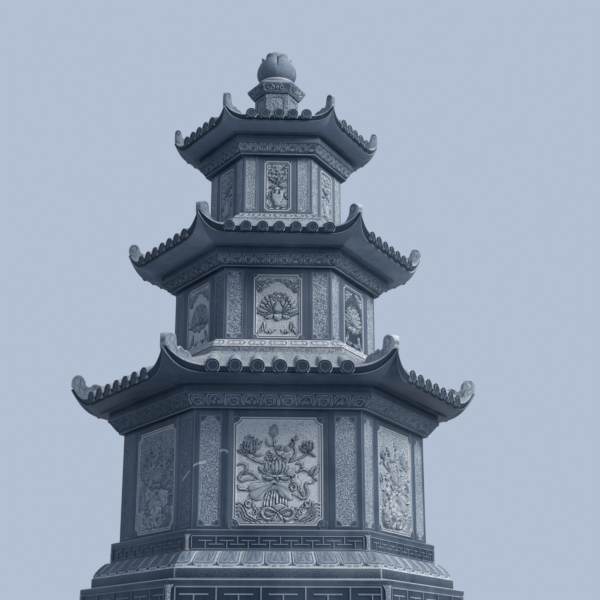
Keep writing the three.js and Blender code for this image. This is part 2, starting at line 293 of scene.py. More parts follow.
def grid_faces(index):
    """Faces between neighbours in a grid of point numbers."""
    corners = [index[:-1, :-1], index[:-1, 1:], index[1:, 1:], index[1:, :-1]]
    return np.stack(corners, axis=-1).reshape(-1, 4)


def numbered(rows, columns):
    return np.arange(rows * columns).reshape(rows, columns)


def add_loops(shape, loops, tone, grain=0.0, closed=False, caps=((HONED, 0.0), (HONED, 0.0))):
    """A skin over loops of points, capped at both ends with a tone and a grain, or closed."""
    index = numbered(len(loops), len(loops[0]))
    start = shape.count
    rows = np.vstack([index, index[:1]]) if closed else index
    shape.add(np.concatenate(loops), grid_faces(np.hstack([rows, rows[:, :1]])), tone, grain)
    if not closed:
        shape.link(start, index[:1, ::-1], *caps[0])
        shape.link(start, index[-1:], *caps[1])


def lines(marks, step):
    """Grid lines through every mark, with even steps between them."""
    found = []
    for low, high in zip(marks, marks[1:]):
        count = max(1, math.ceil((high - low) / step))
        found.extend(np.linspace(low, high, count, endpoint=False))
    return np.array(found + [marks[-1]], float)


def add_relief(shape, face, us, profile, carving, depth, shade=0.0, mirrored=False):
    """A carved slab on a face: a grid raised from a profile, closed behind.

    profile is a row of (w, z) points, and us are measured where w is the first one's.
    """
    way = -1 if mirrored else 1
    us, order = (way * us)[::way], slice(None, None, way)
    height = carving.height[:, order]
    w, z = np.array(profile, float).T
    slope_w, slope_z = np.gradient(w), np.gradient(z)
    length = np.hypot(slope_w, slope_z)
    out, up = slope_z / length, -slope_w / length
    reach = w[:, None] + height * out[:, None]
    level = z[:, None] + height * up[:, None]
    points = [on_face(face, us * reach / w[0], reach, level).reshape(-1, 3)]
    for row, column in ((0, 0), (0, -1), (-1, -1), (-1, 0)):
        back = w[row] - depth * out[row]
        points.append(on_face(face, us[column] * back / w[0], back, z[row] - depth * up[row])[None])
    count = height.size
    index = numbered(*height.shape)
    edge = np.zeros(4)
    tone = np.concatenate([(carving.tone + shade)[:, order].ravel(), edge + HONED])
    grain = np.concatenate([carving.grain[:, order].ravel(), edge])
    start = shape.count
    shape.add(np.concatenate(points), grid_faces(index), tone, grain)
    triangles = []
    for k, side in enumerate((index[0], index[:, -1], index[-1, ::-1], index[::-1, 0])):
        first, second = count + k, count + (k + 1) % 4
        triangles.extend((first, after, before) for before, after in zip(side, side[1:]))
        triangles.append((first, second, side[-1]))
    shape.link(start, triangles, HONED)
    shape.link(start, [[count + 3, count + 2, count + 1, count]], HONED)


def add_band(shape, us, rows, foot, head, carving, depth, painted_shading=EVEN):
    """The same relief on all faces, between two (radius, z) points."""
    foot, head = np.array([foot, head]) * (APOTHEM, 1)
    profile = blend(foot, head, rows[:, None])
    for face in range(FACES):
        # Each face's tone is shifted by its side: painted light and shade.
        add_relief(shape, face, us, profile, carving, depth, painted_side_shading(painted_shading, face))


def band_grid(foot, head, across, upward):
    """A band's grid lines for steps across and upward, between two (radius, z) points, and its
    slant height."""
    half = foot[0] / 2
    tall = math.hypot(head[0] * APOTHEM - foot[0] * APOTHEM, head[1] - foot[1])
    us = np.linspace(-half, half, 2 * round(half / across) + 1)
    return us, np.linspace(0, 1, round(tall / upward)), tall


def hexagon(radius, z, cut):
    """A hexagon with its corners cut off, two points a corner."""
    points = []
    for k in range(FACES):
        corner = np.array([math.cos(k * TURN), math.sin(k * TURN)]) * radius
        for angle in ((k - 2) * TURN, (k + 2) * TURN):
            step = np.array([math.cos(angle), math.sin(angle)]) * min(cut, radius / 3)
            points.append([*(corner + step), z])
    return points


def chamfered_profile(profile, tones, cut, closed, arris_tone):
    """The profile with its arrises cut back, and the tones of its segments."""
    points, found = [], []
    last = len(profile) - 1
    for i, point in enumerate(profile):
        point = np.array(point, float)
        if not closed and i in (0, last):
            points.append(point)
            found.append(tones[min(i, last - 1)])
            continue
        for other in (profile[i - 1], profile[(i + 1) % len(profile)]):
            run = np.array(other, float) - point
            length = np.hypot(*run)
            points.append(point + run / length * min(cut, 0.35 * length))
        # Each chamfer takes the arris tone: painted pale for wear and as a painted highlight.
        found.extend([arris_tone, tones[i % len(tones)]])
    return points, found if closed else found[:-1]


def add_course(shape, profile, tones, cut=5, closed=False, grain=0.0, arris_tone=ARRIS_WEAR_AND_HIGHLIGHT):
    """A hexagonal course through (radius, z) points, with arrises cut back and painted pale: wear, and a
    painted highlight.

    tones are those of the segments between the points. A closed profile makes a ring, and
    an open one a block with flat beds.
    """
    points, found = chamfered_profile(profile, tones, cut, closed, arris_tone)
    at_corner = np.arange(2 * FACES) % 2 == 0
    tone = np.where(at_corner, arris_tone, np.array(found)[:, None]).reshape(-1, 1)
    add_loops(shape, [hexagon(*point, cut) for point in points], tone, grain, closed)


def add_bar(shape, face, u_range, z_range, w, rise, tone, inset=2.0):
    """A raised fillet on an upright face."""
    (u0, u1), (z0, z1) = u_range, z_range
    loops = []
    for cut, out in ((0, -1), (inset, rise)):
        us = (u0 + cut, u1 - cut, u1 - cut, u0 + cut)
        zs = (z0 + cut, z0 + cut, z1 - cut, z1 - cut)
        loops.append(on_face(face, us, w + out, zs))
    add_loops(shape, loops, 0.3, caps=((HONED, 0.0), (tone, 0.0)))


def add_turned(shape, centre, axis, across, profile, segments=20, grain=0.0):
    """A turned form: profile holds (radius, out, tone), from its rim to its middle."""
    axis, across = np.array(axis, float), np.array(across, float)
    angles = np.arange(segments)[:, None] * 2 * math.pi / segments
    ring = np.cos(angles) * across + np.sin(angles) * np.cross(axis, across)
    loops = [np.array(centre) + radius * ring + out * axis for radius, out, _ in profile]
    tones = [tone for _, _, tone in profile]
    caps = (tones[0], grain), (tones[-1], grain)
    add_loops(shape, loops, np.repeat(tones[1:], segments)[:, None], grain, caps=caps)


# Carving

def smooth_path(points, steps=6):
    """A curve through the points."""
    points = np.array(points, float)
    padded = np.vstack([2 * points[0] - points[1], points, 2 * points[-1] - points[-2]])
    found = []
    for a, b, c, d in zip(padded, padded[1:], padded[2:], padded[3:]):
        for t in np.arange(steps) / steps:
            bend = (2 * a - 5 * b + 4 * c - d) * t * t + (3 * b - a - 3 * c + d) * t ** 3
            found.append(0.5 * (2 * b + (c - a) * t + bend))
    return np.array(found + [points[-1]])


def spiral(centre, outer, inner, turns, start, handed=1):
    """Points along a spiral that winds in from its outer radius."""
    share = np.linspace(0, 1, max(8, int(14 * turns)))
    angle = math.radians(start) + handed * share * turns * 2 * math.pi
    radius = outer + (inner - outer) * share
    return np.stack([centre[0] + radius * np.cos(angle), centre[1] + radius * np.sin(angle)], axis=1)


class Carving:
    """A relief on a grid, painted from its ground to its foremost form.

    The grid is given by its lines, or by the place of each of its points.
    """

    def __init__(self, xs, ys, tone=HONED, grain=0.0, floor=0.0):
        self.x, self.y = np.meshgrid(xs, ys) if np.ndim(xs) == 1 else (xs, ys)
        self.height = np.zeros(self.x.shape)
        self.tone = np.full(self.x.shape, tone)
        self.grain = np.full(self.x.shape, grain)
        self.floor = floor

    def add(self, share, height, tone):
        """Raises and pales the stone by a share of each."""
        self.height = self.height + height * share
        self.tone = self.tone + tone * share

    def to_segment(self, start, end):
        """Each grid point's distance from a segment, and how far along it is nearest."""
        (ax, ay), (bx, by) = start, end
        dx, dy = bx - ax, by - ay
        share = ((self.x - ax) * dx + (self.y - ay) * dy) / max(dx * dx + dy * dy, 1e-9)
        share = np.clip(share, 0, 1)
        return np.hypot(self.x - ax - share * dx, self.y - ay - share * dy), share

    def stroke_distance(self, points, widths):
        """How far each grid point lies inside a stroke, negative outside it."""
        widths = np.interp(np.linspace(0, 1, len(points)), np.linspace(0, 1, len(widths)), widths)
        best = np.full(self.x.shape, -1e9)
        for start, end, first, second in zip(points, points[1:], widths, widths[1:]):
            gap, share = self.to_segment(start, end)
            best = np.maximum(best, blend(first, second, share) / 2 - gap)
        return best

    def leaf_distance(self, base, tip, width, bend=0.0, fullest=0.45):
        """A pointed leaf or petal from its base to its tip, fullest part way along it."""
        base, tip = np.array(base, float), np.array(tip, float)
        length = np.hypot(*(tip - base))
        run = (tip - base) / length
        share = ((self.x - base[0]) * run[0] + (self.y - base[1]) * run[1]) / length
        offset = (self.y - base[1]) * run[0] - (self.x - base[0]) * run[1]
        inside = np.clip(share, 0, 1)
        offset = offset - bend * 4 * inside * (1 - inside)
        power = math.log(0.5) / math.log(fullest)
        half = width / 2 * np.sin(math.pi * inside ** power) ** 0.8
        beyond = np.maximum(-share, share - 1) * length
        return np.where(beyond > 0, -np.hypot(beyond, offset), half - np.abs(offset)), offset, share

    def blob_distance(self, outline):
        """How far each grid point lies inside a smooth closed outline."""
        points = smooth_path([*outline, outline[0]], 5)
        inside = np.zeros(self.x.shape, bool)
        nearest = np.full(self.x.shape, 1e9)
        for (ax, ay), (bx, by) in zip(points, points[1:]):
            nearest = np.minimum(nearest, self.to_segment((ax, ay), (bx, by))[0])
            if ay != by:
                crosses = (ay > self.y) != (by > self.y)
                inside ^= crosses & (self.x < (bx - ax) * (self.y - ay) / (by - ay) + ax)
        return np.where(inside, nearest, -nearest)

    def paint(self, distance, rise, bevel, tone, rim=6.0, rim_drop=4.5, grain=0.15, edge=0.24):
        """Lays a form over what is there, in a sunk line painted dark as shade, with a painted highlight just
        inside its edge.
        """
        inside = distance > 0
        around = (distance <= 0) & (distance > -rim)
        depth = np.clip(distance / bevel, 0, 1)
        near = 1 + distance / rim
        sunk = np.minimum(self.height, self.floor) - rim_drop * near
        swollen = self.floor + 1.35 * rise * np.sqrt(1 - (1 - depth) ** 2)
        self.height = np.where(inside, swollen, np.where(around, sunk, self.height))
        # edge paints a highlight just inside the form's outline.
        shade = tone + 0.18 * depth + edge * fade(distance - 2.5, 3)
        rim_painted_shade = self.tone * (1 - 0.8 * near)
        self.tone = np.where(inside, shade, np.where(around, rim_painted_shade, self.tone))
        self.grain = np.where(inside, grain, np.where(around, 0.2, self.grain))

    def stroke(self, points, widths, rise=9, tone=0.55, smooth=True, bevel=None, **more):
        path = smooth_path(points) if smooth else points
        bevel = bevel or max(4.0, max(widths) * 0.5)
        self.paint(self.stroke_distance(path, widths), rise, bevel, tone, **more)

    def curl(self, centre, size, widths, inner=3, turns=1.2, start=200, handed=1,
             rise=8, tone=0.5, bevel=4, rim=4):
        """A stroke that winds up in a spiral."""
        path = spiral(centre, size, inner, turns, start, handed)
        self.paint(self.stroke_distance(path, widths), rise, bevel, tone, rim=rim)

    def leaf(self, base, tip, width, bend=0.0, rise=10, tone=0.48, fullest=0.45, veins=1, **more):
        distance, offset, share = self.leaf_distance(base, tip, width, bend, fullest)
        self.paint(distance, rise, width * 0.34, tone, **more)
        for k in range(veins):
            place = (k + 1) / (veins + 1) * 2 - 1
            line = offset - place * width * 0.42 * np.sin(math.pi * np.clip(share, 0.02, 0.98))
            # Veins are sunk and painted darker: painted shade.
            self.add(fade(line, 3) * (distance > 2), -2.5, -0.22)

    def blob(self, outline, rise=10, bevel=16, tone=0.52):
        distance = self.blob_distance(outline)
        self.paint(distance, rise, bevel, tone)
        return distance

    def cut_line(self, points, width=5, deep=3, tone=-0.25, within=None, smooth=True):
        path = smooth_path(points) if smooth else points
        cut = fade(self.stroke_distance(path, [0, 0]), width) ** 2
        if within is not None:
            cut = cut * (within > 1)
        # The cut is painted darker by its tone: painted shade in the groove.
        self.add(cut, -deep, tone)
        self.tone = np.clip(self.tone, 0, 1)

    def notched_frame(self, half, foot, head, notch):
        """How far inside a frame whose corners are notched by quarter rounds."""
        middle = (foot + head) / 2
        tall = (head - foot) / 2
        x, y = np.abs(self.x), np.abs(self.y - middle)
        box = np.minimum(half - x, tall - y)
        corner = np.hypot(half - x, tall - y) - notch
        return np.where((x < half) & (y < tall), np.minimum(box, corner), box)


# Materials

def add_node(tree, kind, inputs):
    """A node whose inputs are set, or linked where a value is another node's output."""
    made = tree.nodes.new("ShaderNode" + kind)
    for key, value in inputs.items():
        if isinstance(value, bpy.types.NodeSocket):
            tree.links.new(value, made.inputs[key])
        else:
            made.inputs[key].default_value = value
    return made


def attribute(tree, name):
    made = add_node(tree, "Attribute", {})
    made.attribute_name = name
    return made.outputs["Fac"]


def maths(tree, operation, first, second, clamp=False):
    made = add_node(tree, "Math", {0: first, 1: second})
    made.operation = operation
    made.use_clamp = clamp
    return made.outputs[0]


def noise(tree, place, scale, detail, roughness):
    inputs = {"Vector": place, "Scale": scale, "Detail": detail, "Roughness": roughness}
    return add_node(tree, "TexNoise", inputs).outputs["Fac"]


def spread(tree, value, low, high):
    """value, stretched so that low becomes 0 and high becomes 1."""
    return add_node(tree, "MapRange", {"Value": value, "From Min": low, "From Max": high}).outputs[0]


def swing(tree, value, amount):
    """value, moved to lie about 0 and multiplied by amount."""
    return maths(tree, "MULTIPLY", maths(tree, "SUBTRACT", value, 0.5), amount)


def stone_material(name, dark, middle, pale, dust_and_top_light, speckle, sheen_rough):
    """Stone whose tone and tool marks come from the piece's own tone and grain."""
    material = bpy.data.materials.new(name)
    material.use_nodes = True
    tree = material.node_tree
    shader = tree.nodes["Principled BSDF"]
    place = add_node(tree, "TexCoord", {}).outputs["Object"]
    tall = add_node(tree, "Mapping", {"Vector": place, "Scale": (1.0, 1.0, 0.16)}).outputs[0]
    tone = attribute(tree, "tone")
    grain = attribute(tree, "grain")
    clouds = noise(tree, place, 2.3, 5.0, 0.62)
    streaks = noise(tree, tall, 9.0, 3.0, 0.6)
    specks = spread(tree, noise(tree, place, 125.0, 2.0, 0.6), 0.34, 0.66)
    grit = noise(tree, place, 240.0, 2.0, 0.7)
    normal = add_node(tree, "NewGeometry", {}).outputs["Normal"]
    upward = spread(tree, add_node(tree, "SeparateXYZ", {0: normal}).outputs["Z"], 0.15, 0.95)

    pits = swing(tree, specks, maths(tree, "MULTIPLY", grain, speckle))
    level = tone
    for part in (swing(tree, clouds, 0.42), swing(tree, streaks, 0.22), pits, swing(tree, grit, 0.16)):
        level = maths(tree, "ADD", level, part)
    # Faces turned up are painted paler: dust, and painted light from above.
    level = maths(tree, "ADD", level, maths(tree, "MULTIPLY", upward, dust_and_top_light), clamp=True)
    ramp = add_node(tree, "ValToRGB", {"Fac": level})
    ramp.color_ramp.elements[0].color = (*dark, 1)
    ramp.color_ramp.elements[1].color = (*pale, 1)
    ramp.color_ramp.elements.new(0.5).color = (*middle, 1)
    tree.links.new(ramp.outputs["Color"], shader.inputs["Base Color"])
    shader.inputs["Specular IOR Level"].default_value = 0.3
    rough = add_node(tree, "MapRange", {"Value": level, "To Min": sheen_rough, "To Max": 0.92})
    tree.links.new(rough.outputs[0], shader.inputs["Roughness"])

    bumps = maths(tree, "MULTIPLY", specks, grain)
    bumps = maths(tree, "ADD", bumps, maths(tree, "MULTIPLY", grit, 0.25))
    bump = add_node(tree, "Bump", {"Strength": 0.55, "Distance": 0.0035, "Height": bumps})
    tree.links.new(bump.outputs[0], shader.inputs["Normal"])
    return material


MATERIALS = {
    "dressed_stone": stone_material(
        "dressed_stone",
        dark=(0.008, 0.021, 0.043), middle=(0.105, 0.146, 0.2), pale=(0.42, 0.445, 0.475),
        dust_and_top_light=0.25, speckle=0.8, sheen_rough=0.42,
    ),
    "carved_stone": stone_material(
        "carved_stone",
        dark=(0.008, 0.022, 0.043), middle=(0.105, 0.146, 0.196), pale=(0.42, 0.445, 0.473),
        dust_and_top_light=0.3, speckle=0.85, sheen_rough=0.5,
    ),
}


# Base

def build_plinth():
    top = box_of("plinth_slab")[1][2]
    shape = Shape()
    add_course(shape, [(PLINTH_RADIUS, 0), (PLINTH_RADIUS, top)], [HONED], cut=8)
    shape.make("plinth_slab", "dressed", "dressed_stone", 32)


def petal_edges(half):
    """Where petals meet along a face, from its middle out: the middle petal is wider."""
    count = round((half - MIDDLE_PETAL / 2) / PETAL_WIDTH - 0.5)
    pitch = (half - MIDDLE_PETAL / 2) / (count + 0.62)
    return [MIDDLE_PETAL / 2 + k * pitch for k in range(count + 1)]


def petal_relief(us, rows, half):
    """Lotus petals that hang down a slope, from its foot, 0, to its head, 1."""
    carving = Carving(np.abs(us), rows, grain=0.35)
    x, y = carving.x, carving.y
    edges = petal_edges(half)
    bounds = np.array([-edges[0], *edges, 2 * half - edges[-1]])
    which = np.clip(np.searchsorted(bounds, x) - 1, 0, len(bounds) - 2)
    low, high = bounds[which], bounds[which + 1]
    width = (high - low) / 2
    across = np.abs((x - (low + high) / 2) / width)
    foot = 0.03 + 0.05 * across + 0.24 * across ** 7 + 0.04 * fade(across, 0.1)
    inside = np.minimum((1 - across) * width - 4, (y - foot) * 130)
    outline = fade(inside - 5, 6)
    ring = fade(inside - 24, 5)
    body = np.clip(inside / 16, 0, 1)
    carving.height = 9 * np.sqrt(body * (2 - body)) + 3.5 * outline + 3 * ring
    carving.tone = 0.27 + 0.66 * outline + 0.34 * ring
    carving.tone = np.where(inside < -1, np.where(y < 0.06, 0.9, 0.15), carving.tone)
    # A sunk line inside each petal, painted darker: painted shade.
    carving.add(fade(inside - 15, 4), -2.5, -0.2)
    swirl = np.abs(np.sin(across * 7.5 + y * 3))
    carving.height += 3 * swirl * (inside > 30)
    carving.tone = np.clip(carving.tone + 0.18 * (swirl - 0.4) * (inside > 30), 0.1, 1)
    carving.height *= np.clip((1 - y) / 0.12, 0, 1) * np.clip(y / 0.05, 0, 1)
    return carving


def build_lotus_course(node, band_radius, head_radius):
    low, high = box_of(node)
    foot, head = low[2], high[2]
    band_top = foot + BAND_HEIGHT
    sunk = 14
    shape = Shape()
    add_course(shape, [
        (band_radius - 4, foot), (band_radius, foot + 6), (band_radius, band_top),
        (band_radius - LEDGE - sunk, band_top + 1), (head_radius + LEDGE - sunk, head),
    ], [CHALK, HONED, CHALK, 0.4], cut=6, grain=0.4)
    rows = np.linspace(0, 1, 23)
    run = (band_radius - LEDGE - head_radius - LEDGE) * APOTHEM
    rise = head - band_top - 1
    bulge = 7 * np.sin(math.pi * rows) / math.hypot(run, rise)
    w = (band_radius - LEDGE) * APOTHEM - run * rows + bulge * rise
    z = band_top + 1 + rise * rows + bulge * run
    half = (band_radius - LEDGE) / 2
    us = np.linspace(-half, half, 2 * round(half / 8) + 1)
    carving = petal_relief(us, rows, half)
    # Left faces get painted shade, with less of it on the pale outlines.
    dark = np.clip(1.25 - carving.tone, 0, 1)
    for face in range(FACES):
        add_relief(shape, face, us, list(zip(w, z)), carving, sunk, painted_side_shading(BASE_PAINTED_SHADING, face) * dark)
    shape.make(node, "petals", "carved_stone", 45)


def add_fret(shape, face, apothem, z_lines, half, form, rise):
    """A band of T shapes that stand and hang in turn between two long fillets."""
    bottom, hanging, standing, top = z_lines
    pitch, thick = form["pitch"], form["thick"]
    # Left faces are painted darker: painted shade.
    tone = 0.62 + painted_side_shading(FRET_PAINTED_SHADING, face)

    def fillet(us, level):
        add_bar(shape, face, us, (level - thick / 2, level + thick / 2), apothem, rise, tone)

    def stem(u, zs):
        add_bar(shape, face, (u - thick / 2, u + thick / 2), zs, apothem, rise + 0.4, tone)

    fillet((-half, half), top)
    fillet((-half, half), bottom)
    for end in (-half, half):
        stem(end, (bottom, top))
    for k in range(math.ceil(2 * half / pitch) + 1):
        middle = form["first"] + k * pitch
        for u, level, zs, arm in (
            (middle, hanging, (hanging, top), 0.36),
            (middle - pitch / 2, standing, (bottom, standing), 0.33),
        ):
            if abs(u) < half - 0.1 * pitch:
                stem(u, zs)
                fillet((max(u - arm * pitch, -half), min(u + arm * pitch, half)), level)


def add_corner_posts(shape, radius, bottom, top, sunk, end):
    """A plain post at each corner of the fret, flared at its foot and head."""
    share = np.linspace(0, 1, 9)
    us = radius / 2 - 0.45 * end - 0.42 * end * (2 * share - 1) ** 6
    zs = bottom - 4 + share * (top - bottom + 8)
    front, back = radius * APOTHEM + 0.5, (radius - sunk) * APOTHEM - 1
    for face in range(FACES):
        for side in (-1, 1):
            edges = ((radius / 2, front), (us, front), (us, back))
            points = [on_face(face, side * u + 0 * zs, w, zs) for u, w in edges]
            shape.add(np.concatenate(points), grid_faces(numbered(3, len(zs))), 0.66, 0.7)


def build_fret_course(node, form):
    low, high = box_of(node)
    radius, end = form["radius"], form["end"]
    shape = Shape()
    sunk = 7
    z_lines = [low[2] + level for level in form["levels"]]
    bottom, top = z_lines[0] - 0.8 * form["thick"], z_lines[-1] + 0.8 * form["thick"]
    add_course(shape, [
        (radius, low[2]), (radius, bottom - 6), (radius - sunk, bottom),
        (radius - sunk, top), (radius, top + 6), (radius, high[2] - 5), (radius - 4, high[2]),
    ], [HONED, 0.3, 0.06, 0.3, HONED, form["crown"]], cut=4, arris_tone=0.3)
    for face in range(FACES):
        add_fret(shape, face, (radius - sunk) * APOTHEM, z_lines, radius / 2 - end, form, 5)
    add_corner_posts(shape, radius, bottom, top, sunk, end)
    shape.make(node, "fret", "dressed_stone", 32)


# Walls

def add_slab(shape, face, number, us, levels, carving, shade=0.0, mirrored=False):
    """A slab of a storey's wall."""
    profile = [(STOREYS[number - 1]["radius"] * APOTHEM, z) for z in levels]
    add_relief(shape, face, us, profile, carving, SLAB_DEPTH, shade, mirrored)


def bevel_edges(carving, us, levels, right=math.inf):
    """Cuts a slab's free edges back, and pales them: a painted highlight on the bevels."""
    x, y = np.meshgrid(us, levels)
    gap = np.minimum(np.minimum(x - us[0], right - x), np.minimum(y - levels[0], levels[-1] - y))
    carving.height -= BEVEL * np.clip(1 - gap / BEVEL, 0, 1)
    carving.tone = np.where(gap < BEVEL * 0.9, 0.55, carving.tone)


def corner_lines(number, margin, step):
    """Grid lines across one leaf of a corner piece, from its seam to the corner."""
    near, far = NARROW_PANELS[number - 1]["near"], NARROW_PANELS[number - 1]["far"]
    corner = STOREYS[number - 1]["radius"] / 2
    seam = corner - PILASTER_WIDTHS[number - 1]
    marks = [seam, seam + BEVEL, near - margin, near, near + 6]
    marks += [far - 6, far, far + margin, corner - BEVEL, corner]
    return lines(marks, step)


def narrow_relief(us, levels, number):
    """A pilaster's face: a bush-hammered panel sunk in a honed border."""
    storey, panel = STOREYS[number - 1], NARROW_PANELS[number - 1]
    foot, head, notch = panel["foot"], panel["head"], panel["notch"]
    half = (panel["far"] - panel["near"]) / 2
    carving = Carving(us - (panel["near"] + panel["far"]) / 2, levels - storey["base"])
    inside = carving.notched_frame(half, foot, head, notch)
    carving.height -= 6 * np.clip(inside / 5, 0, 1)
    carving.tone = np.where(inside > 3, 0.6, storey["border"]) + 0.45 * fade(inside + 1, 3)
    carving.grain = np.where(inside > 3, 1.0, 0.0)
    near_end = np.minimum(carving.y - foot, head - carving.y) < notch
    spandrel = fade(inside + 9, 2.5) * (np.abs(carving.x) > half - notch)
    carving.add(spandrel * near_end, 1.5, 0.12)
    return carving


def pilaster_leaf(number, step):
    """One leaf of a corner piece: its grid lines and its relief."""
    storey, panel = STOREYS[number - 1], NARROW_PANELS[number - 1]
    foot, deep = panel["foot"], panel["notch"] + 8
    lower = storey["base"] + np.array([BEVEL, foot - 4, foot, foot + 6, foot + deep])
    upper = storey["base"] + panel["head"] - np.array([deep, 6, 0, -4])
    levels = np.unique(np.concatenate([
        lines(lower, 6), lines([lower[-1], upper[0]], step), lines(upper, 6),
        [storey["base"], storey["head"] - BEVEL, storey["head"]],
    ]))
    us = corner_lines(number, 4, 6.5)
    carving = narrow_relief(us, levels, number)
    bevel_edges(carving, us, levels)
    # The bevel at the corner is painted pale: a painted highlight.
    carving.tone = np.where(us > us[-1] - BEVEL * 0.9, 0.7, carving.tone)
    return us, levels, carving


def scratch(carving, us, levels, name):
    marks = Carving(us, levels - STOREYS[0]["base"])
    for path in SCRATCHES[name]:
        carving.add(fade(marks.stroke_distance(path, [0, 0]), 4.5), -1.5, 0.9)


def build_pilasters(number):
    for k, name in enumerate(CORNER_NAMES):
        scratched = number == 1 and name == "front_left"
        shape = Shape()
        for face, mirrored in ((k, True), ((k - 1) % FACES, False)):
            us, levels, carving = pilaster_leaf(number, 9 if scratched else 80)
            if scratched:
                scratch(carving, us, levels, FACE_NAMES[face])
            # The bush-hammered field is painted darker on the left and front faces: painted shade.
            shade = painted_side_shading(NARROW_PAINTED_SHADING, face) * (carving.grain > 0.5)
            add_slab(shape, face, number, us, levels, carving, shade, mirrored)
        shape.make(f"pilaster_{number}_{name}", "dressed", "dressed_stone", 40)


def frame_moulding(carving, edge, border):
    """Two beads round a sunk ground, and the ground itself."""
    inside = carving.notched_frame(edge["half"], edge["foot"], edge["head"], edge["notch"])
    outer = fade(inside - 4, 4.6)
    inner = fade(inside - 19, 4.2)
    trough = fade(inside - 11.5, 3.2)
    sunk = np.clip((inside - 20) / 5, 0, 1)
    carving.height = carving.height + 3.5 * outer + inner - 3 * trough - 9 * sunk
    carving.tone = np.where(inside > GROUND_INSET, 0.68, np.where(inside > 0, 0.55, border))
    # The trough between the beads is painted dark: painted shade.
    carving.tone = carving.tone + 0.6 * outer + edge["bead"] * inner - 0.55 * trough
    carving.grain = np.where(inside > GROUND_INSET, 1.0, 0.1)
    middle, tall = (edge["foot"] + edge["head"]) / 2, (edge["head"] - edge["foot"]) / 2
    from_corner = np.hypot(edge["half"] - np.abs(carving.x), tall - np.abs(carving.y - middle))
    carving.add(np.clip((edge["notch"] - 9 - from_corner) / 4, 0, 1), 4, 0.08)
    # A sunk ring round each notch, painted darker: painted shade.
    carving.add(fade(from_corner - 0.42 * edge["notch"], 3.5), -3, -0.08)
    return inside


def framed_lines(low, frame_low, frame_high, high, step):
    """Grid lines over a framed slab, with one at every edge of its beads."""
    beads = (0, 4, 8, 12, 15, 19, 23, 26)
    marks = [low, low + BEVEL] + [frame_low + bead for bead in beads]
    marks += [frame_high - bead for bead in beads[::-1]] + [high - BEVEL, high]
    return lines(marks, step)


def framed_panel(number, half, draw, step):
    """A panel's grid lines, and its relief with a drawing inside its frame."""
    storey, edge = STOREYS[number - 1], FRAMES[number - 1]
    us = framed_lines(-half, -edge["half"], edge["half"], half, step)
    zs = framed_lines(0, edge["foot"], edge["head"], storey["head"] - storey["base"], step)
    carving = Carving(us, zs, floor=-9.0)
    inside = frame_moulding(carving, edge, storey["border"])
    ground = carving.height.copy(), carving.tone.copy(), carving.grain.copy()
    draw(carving)
    drawn = carving.height, carving.tone, carving.grain
    carving.height, carving.tone, carving.grain = np.where(inside < GROUND_INSET, ground, drawn)
    carving.tone += edge["streak"] * np.clip((-carving.x - edge["half"] - 2) / 4, 0, 1)
    bevel_edges(carving, us, zs, half)
    return us, storey["base"] + zs, carving


def build_panels(number, draw, step):
    half = STOREYS[number - 1]["radius"] / 2 - PILASTER_WIDTHS[number - 1] - JOINT
    us, levels, carving = framed_panel(number, half, draw, step)
    # Painted light and shade: the ground of each face is shifted paler or darker by its side, more so towards
    # the panel's foot.
    climb = carving.y / FRAMES[number - 1]["head"]
    ground = (carving.grain > 0.5) * (1 + 0.45 * np.clip((0.7 - climb) / 0.4, -1, 1))
    for face, name in enumerate(FACE_NAMES):
        shape = Shape()
        shade = painted_side_shading(PANEL_PAINTED_SHADING[number - 1], face) * ground
        add_slab(shape, face, number, us, levels, carving, shade, face % 2 == 1)
        shape.make(f"panel_{number}_{name}", "carved", "carved_stone", 50)


def sided(side, *points):
    """The points, mirrored where side is -1."""
    return [(side * x, y) for x, y in points]


def draw_bud(carving, base, tip, width):
    """A closed flower bud of three petals."""
    base, tip = np.array(base, float), np.array(tip, float)
    run = tip - base
    side = np.array([-run[1], run[0]]) / np.hypot(*run)
    carving.leaf(base, tip, width, rise=12, tone=0.5, fullest=0.42, veins=0)
    inside = carving.leaf_distance(base, tip, width, 0, 0.42)[0]
    for way in (-1, 1):
        middle = base + 0.5 * run + way * 0.22 * width * side
        carving.cut_line([tip - 0.05 * run, middle, base + 0.12 * run], 3.5, 3.5, -0.3, inside)
    carving.cut_line([base + 0.15 * run, base + 0.7 * run], 2.5, 1.5, -0.12, inside)


def draw_petals(carving, base, reach, angles, width, tone, fullest):
    """Pointed petals that fan out from a base, the outer ones first, at angles from upright."""
    for angle in angles:
        for turn in (-math.radians(angle), math.radians(angle)):
            tip = (base[0] + reach * math.sin(turn), base[1] + reach * math.cos(turn))
            carving.leaf(base, tip, width, rise=11, tone=tone, fullest=fullest, veins=0, rim=5)


def draw_cup(carving, middle, foot, head, width, count, tone=0.42):
    """A bowl of upright petals with pointed tips."""
    tall = head - foot
    half = width / 2
    for share in sorted(np.linspace(-1, 1, count), key=abs, reverse=True):
        base = (middle + 0.4 * half * share, foot + 0.08 * tall * abs(share))
        tip = (middle + half * share, head - 0.14 * tall * abs(share))
        bend = -0.22 * half * share
        carving.leaf(base, tip, 3.6 * half / count, bend, 12, tone, 0.5, 0, rim=3, edge=0.14)


def draw_dots(carving, centre, size, count, radius):
    """Stamens as small pale grains over an oval."""
    for k in range(count):
        share = math.sqrt((k + 0.5) / count)
        x = centre[0] + size[0] * share * math.cos(2.4 * k)
        y = centre[1] + size[1] * share * math.sin(2.4 * k)
        carving.stroke([(x, y), (x + 0.5, y)], [radius, radius], 9, 0.95, False, rim=4, bevel=radius)


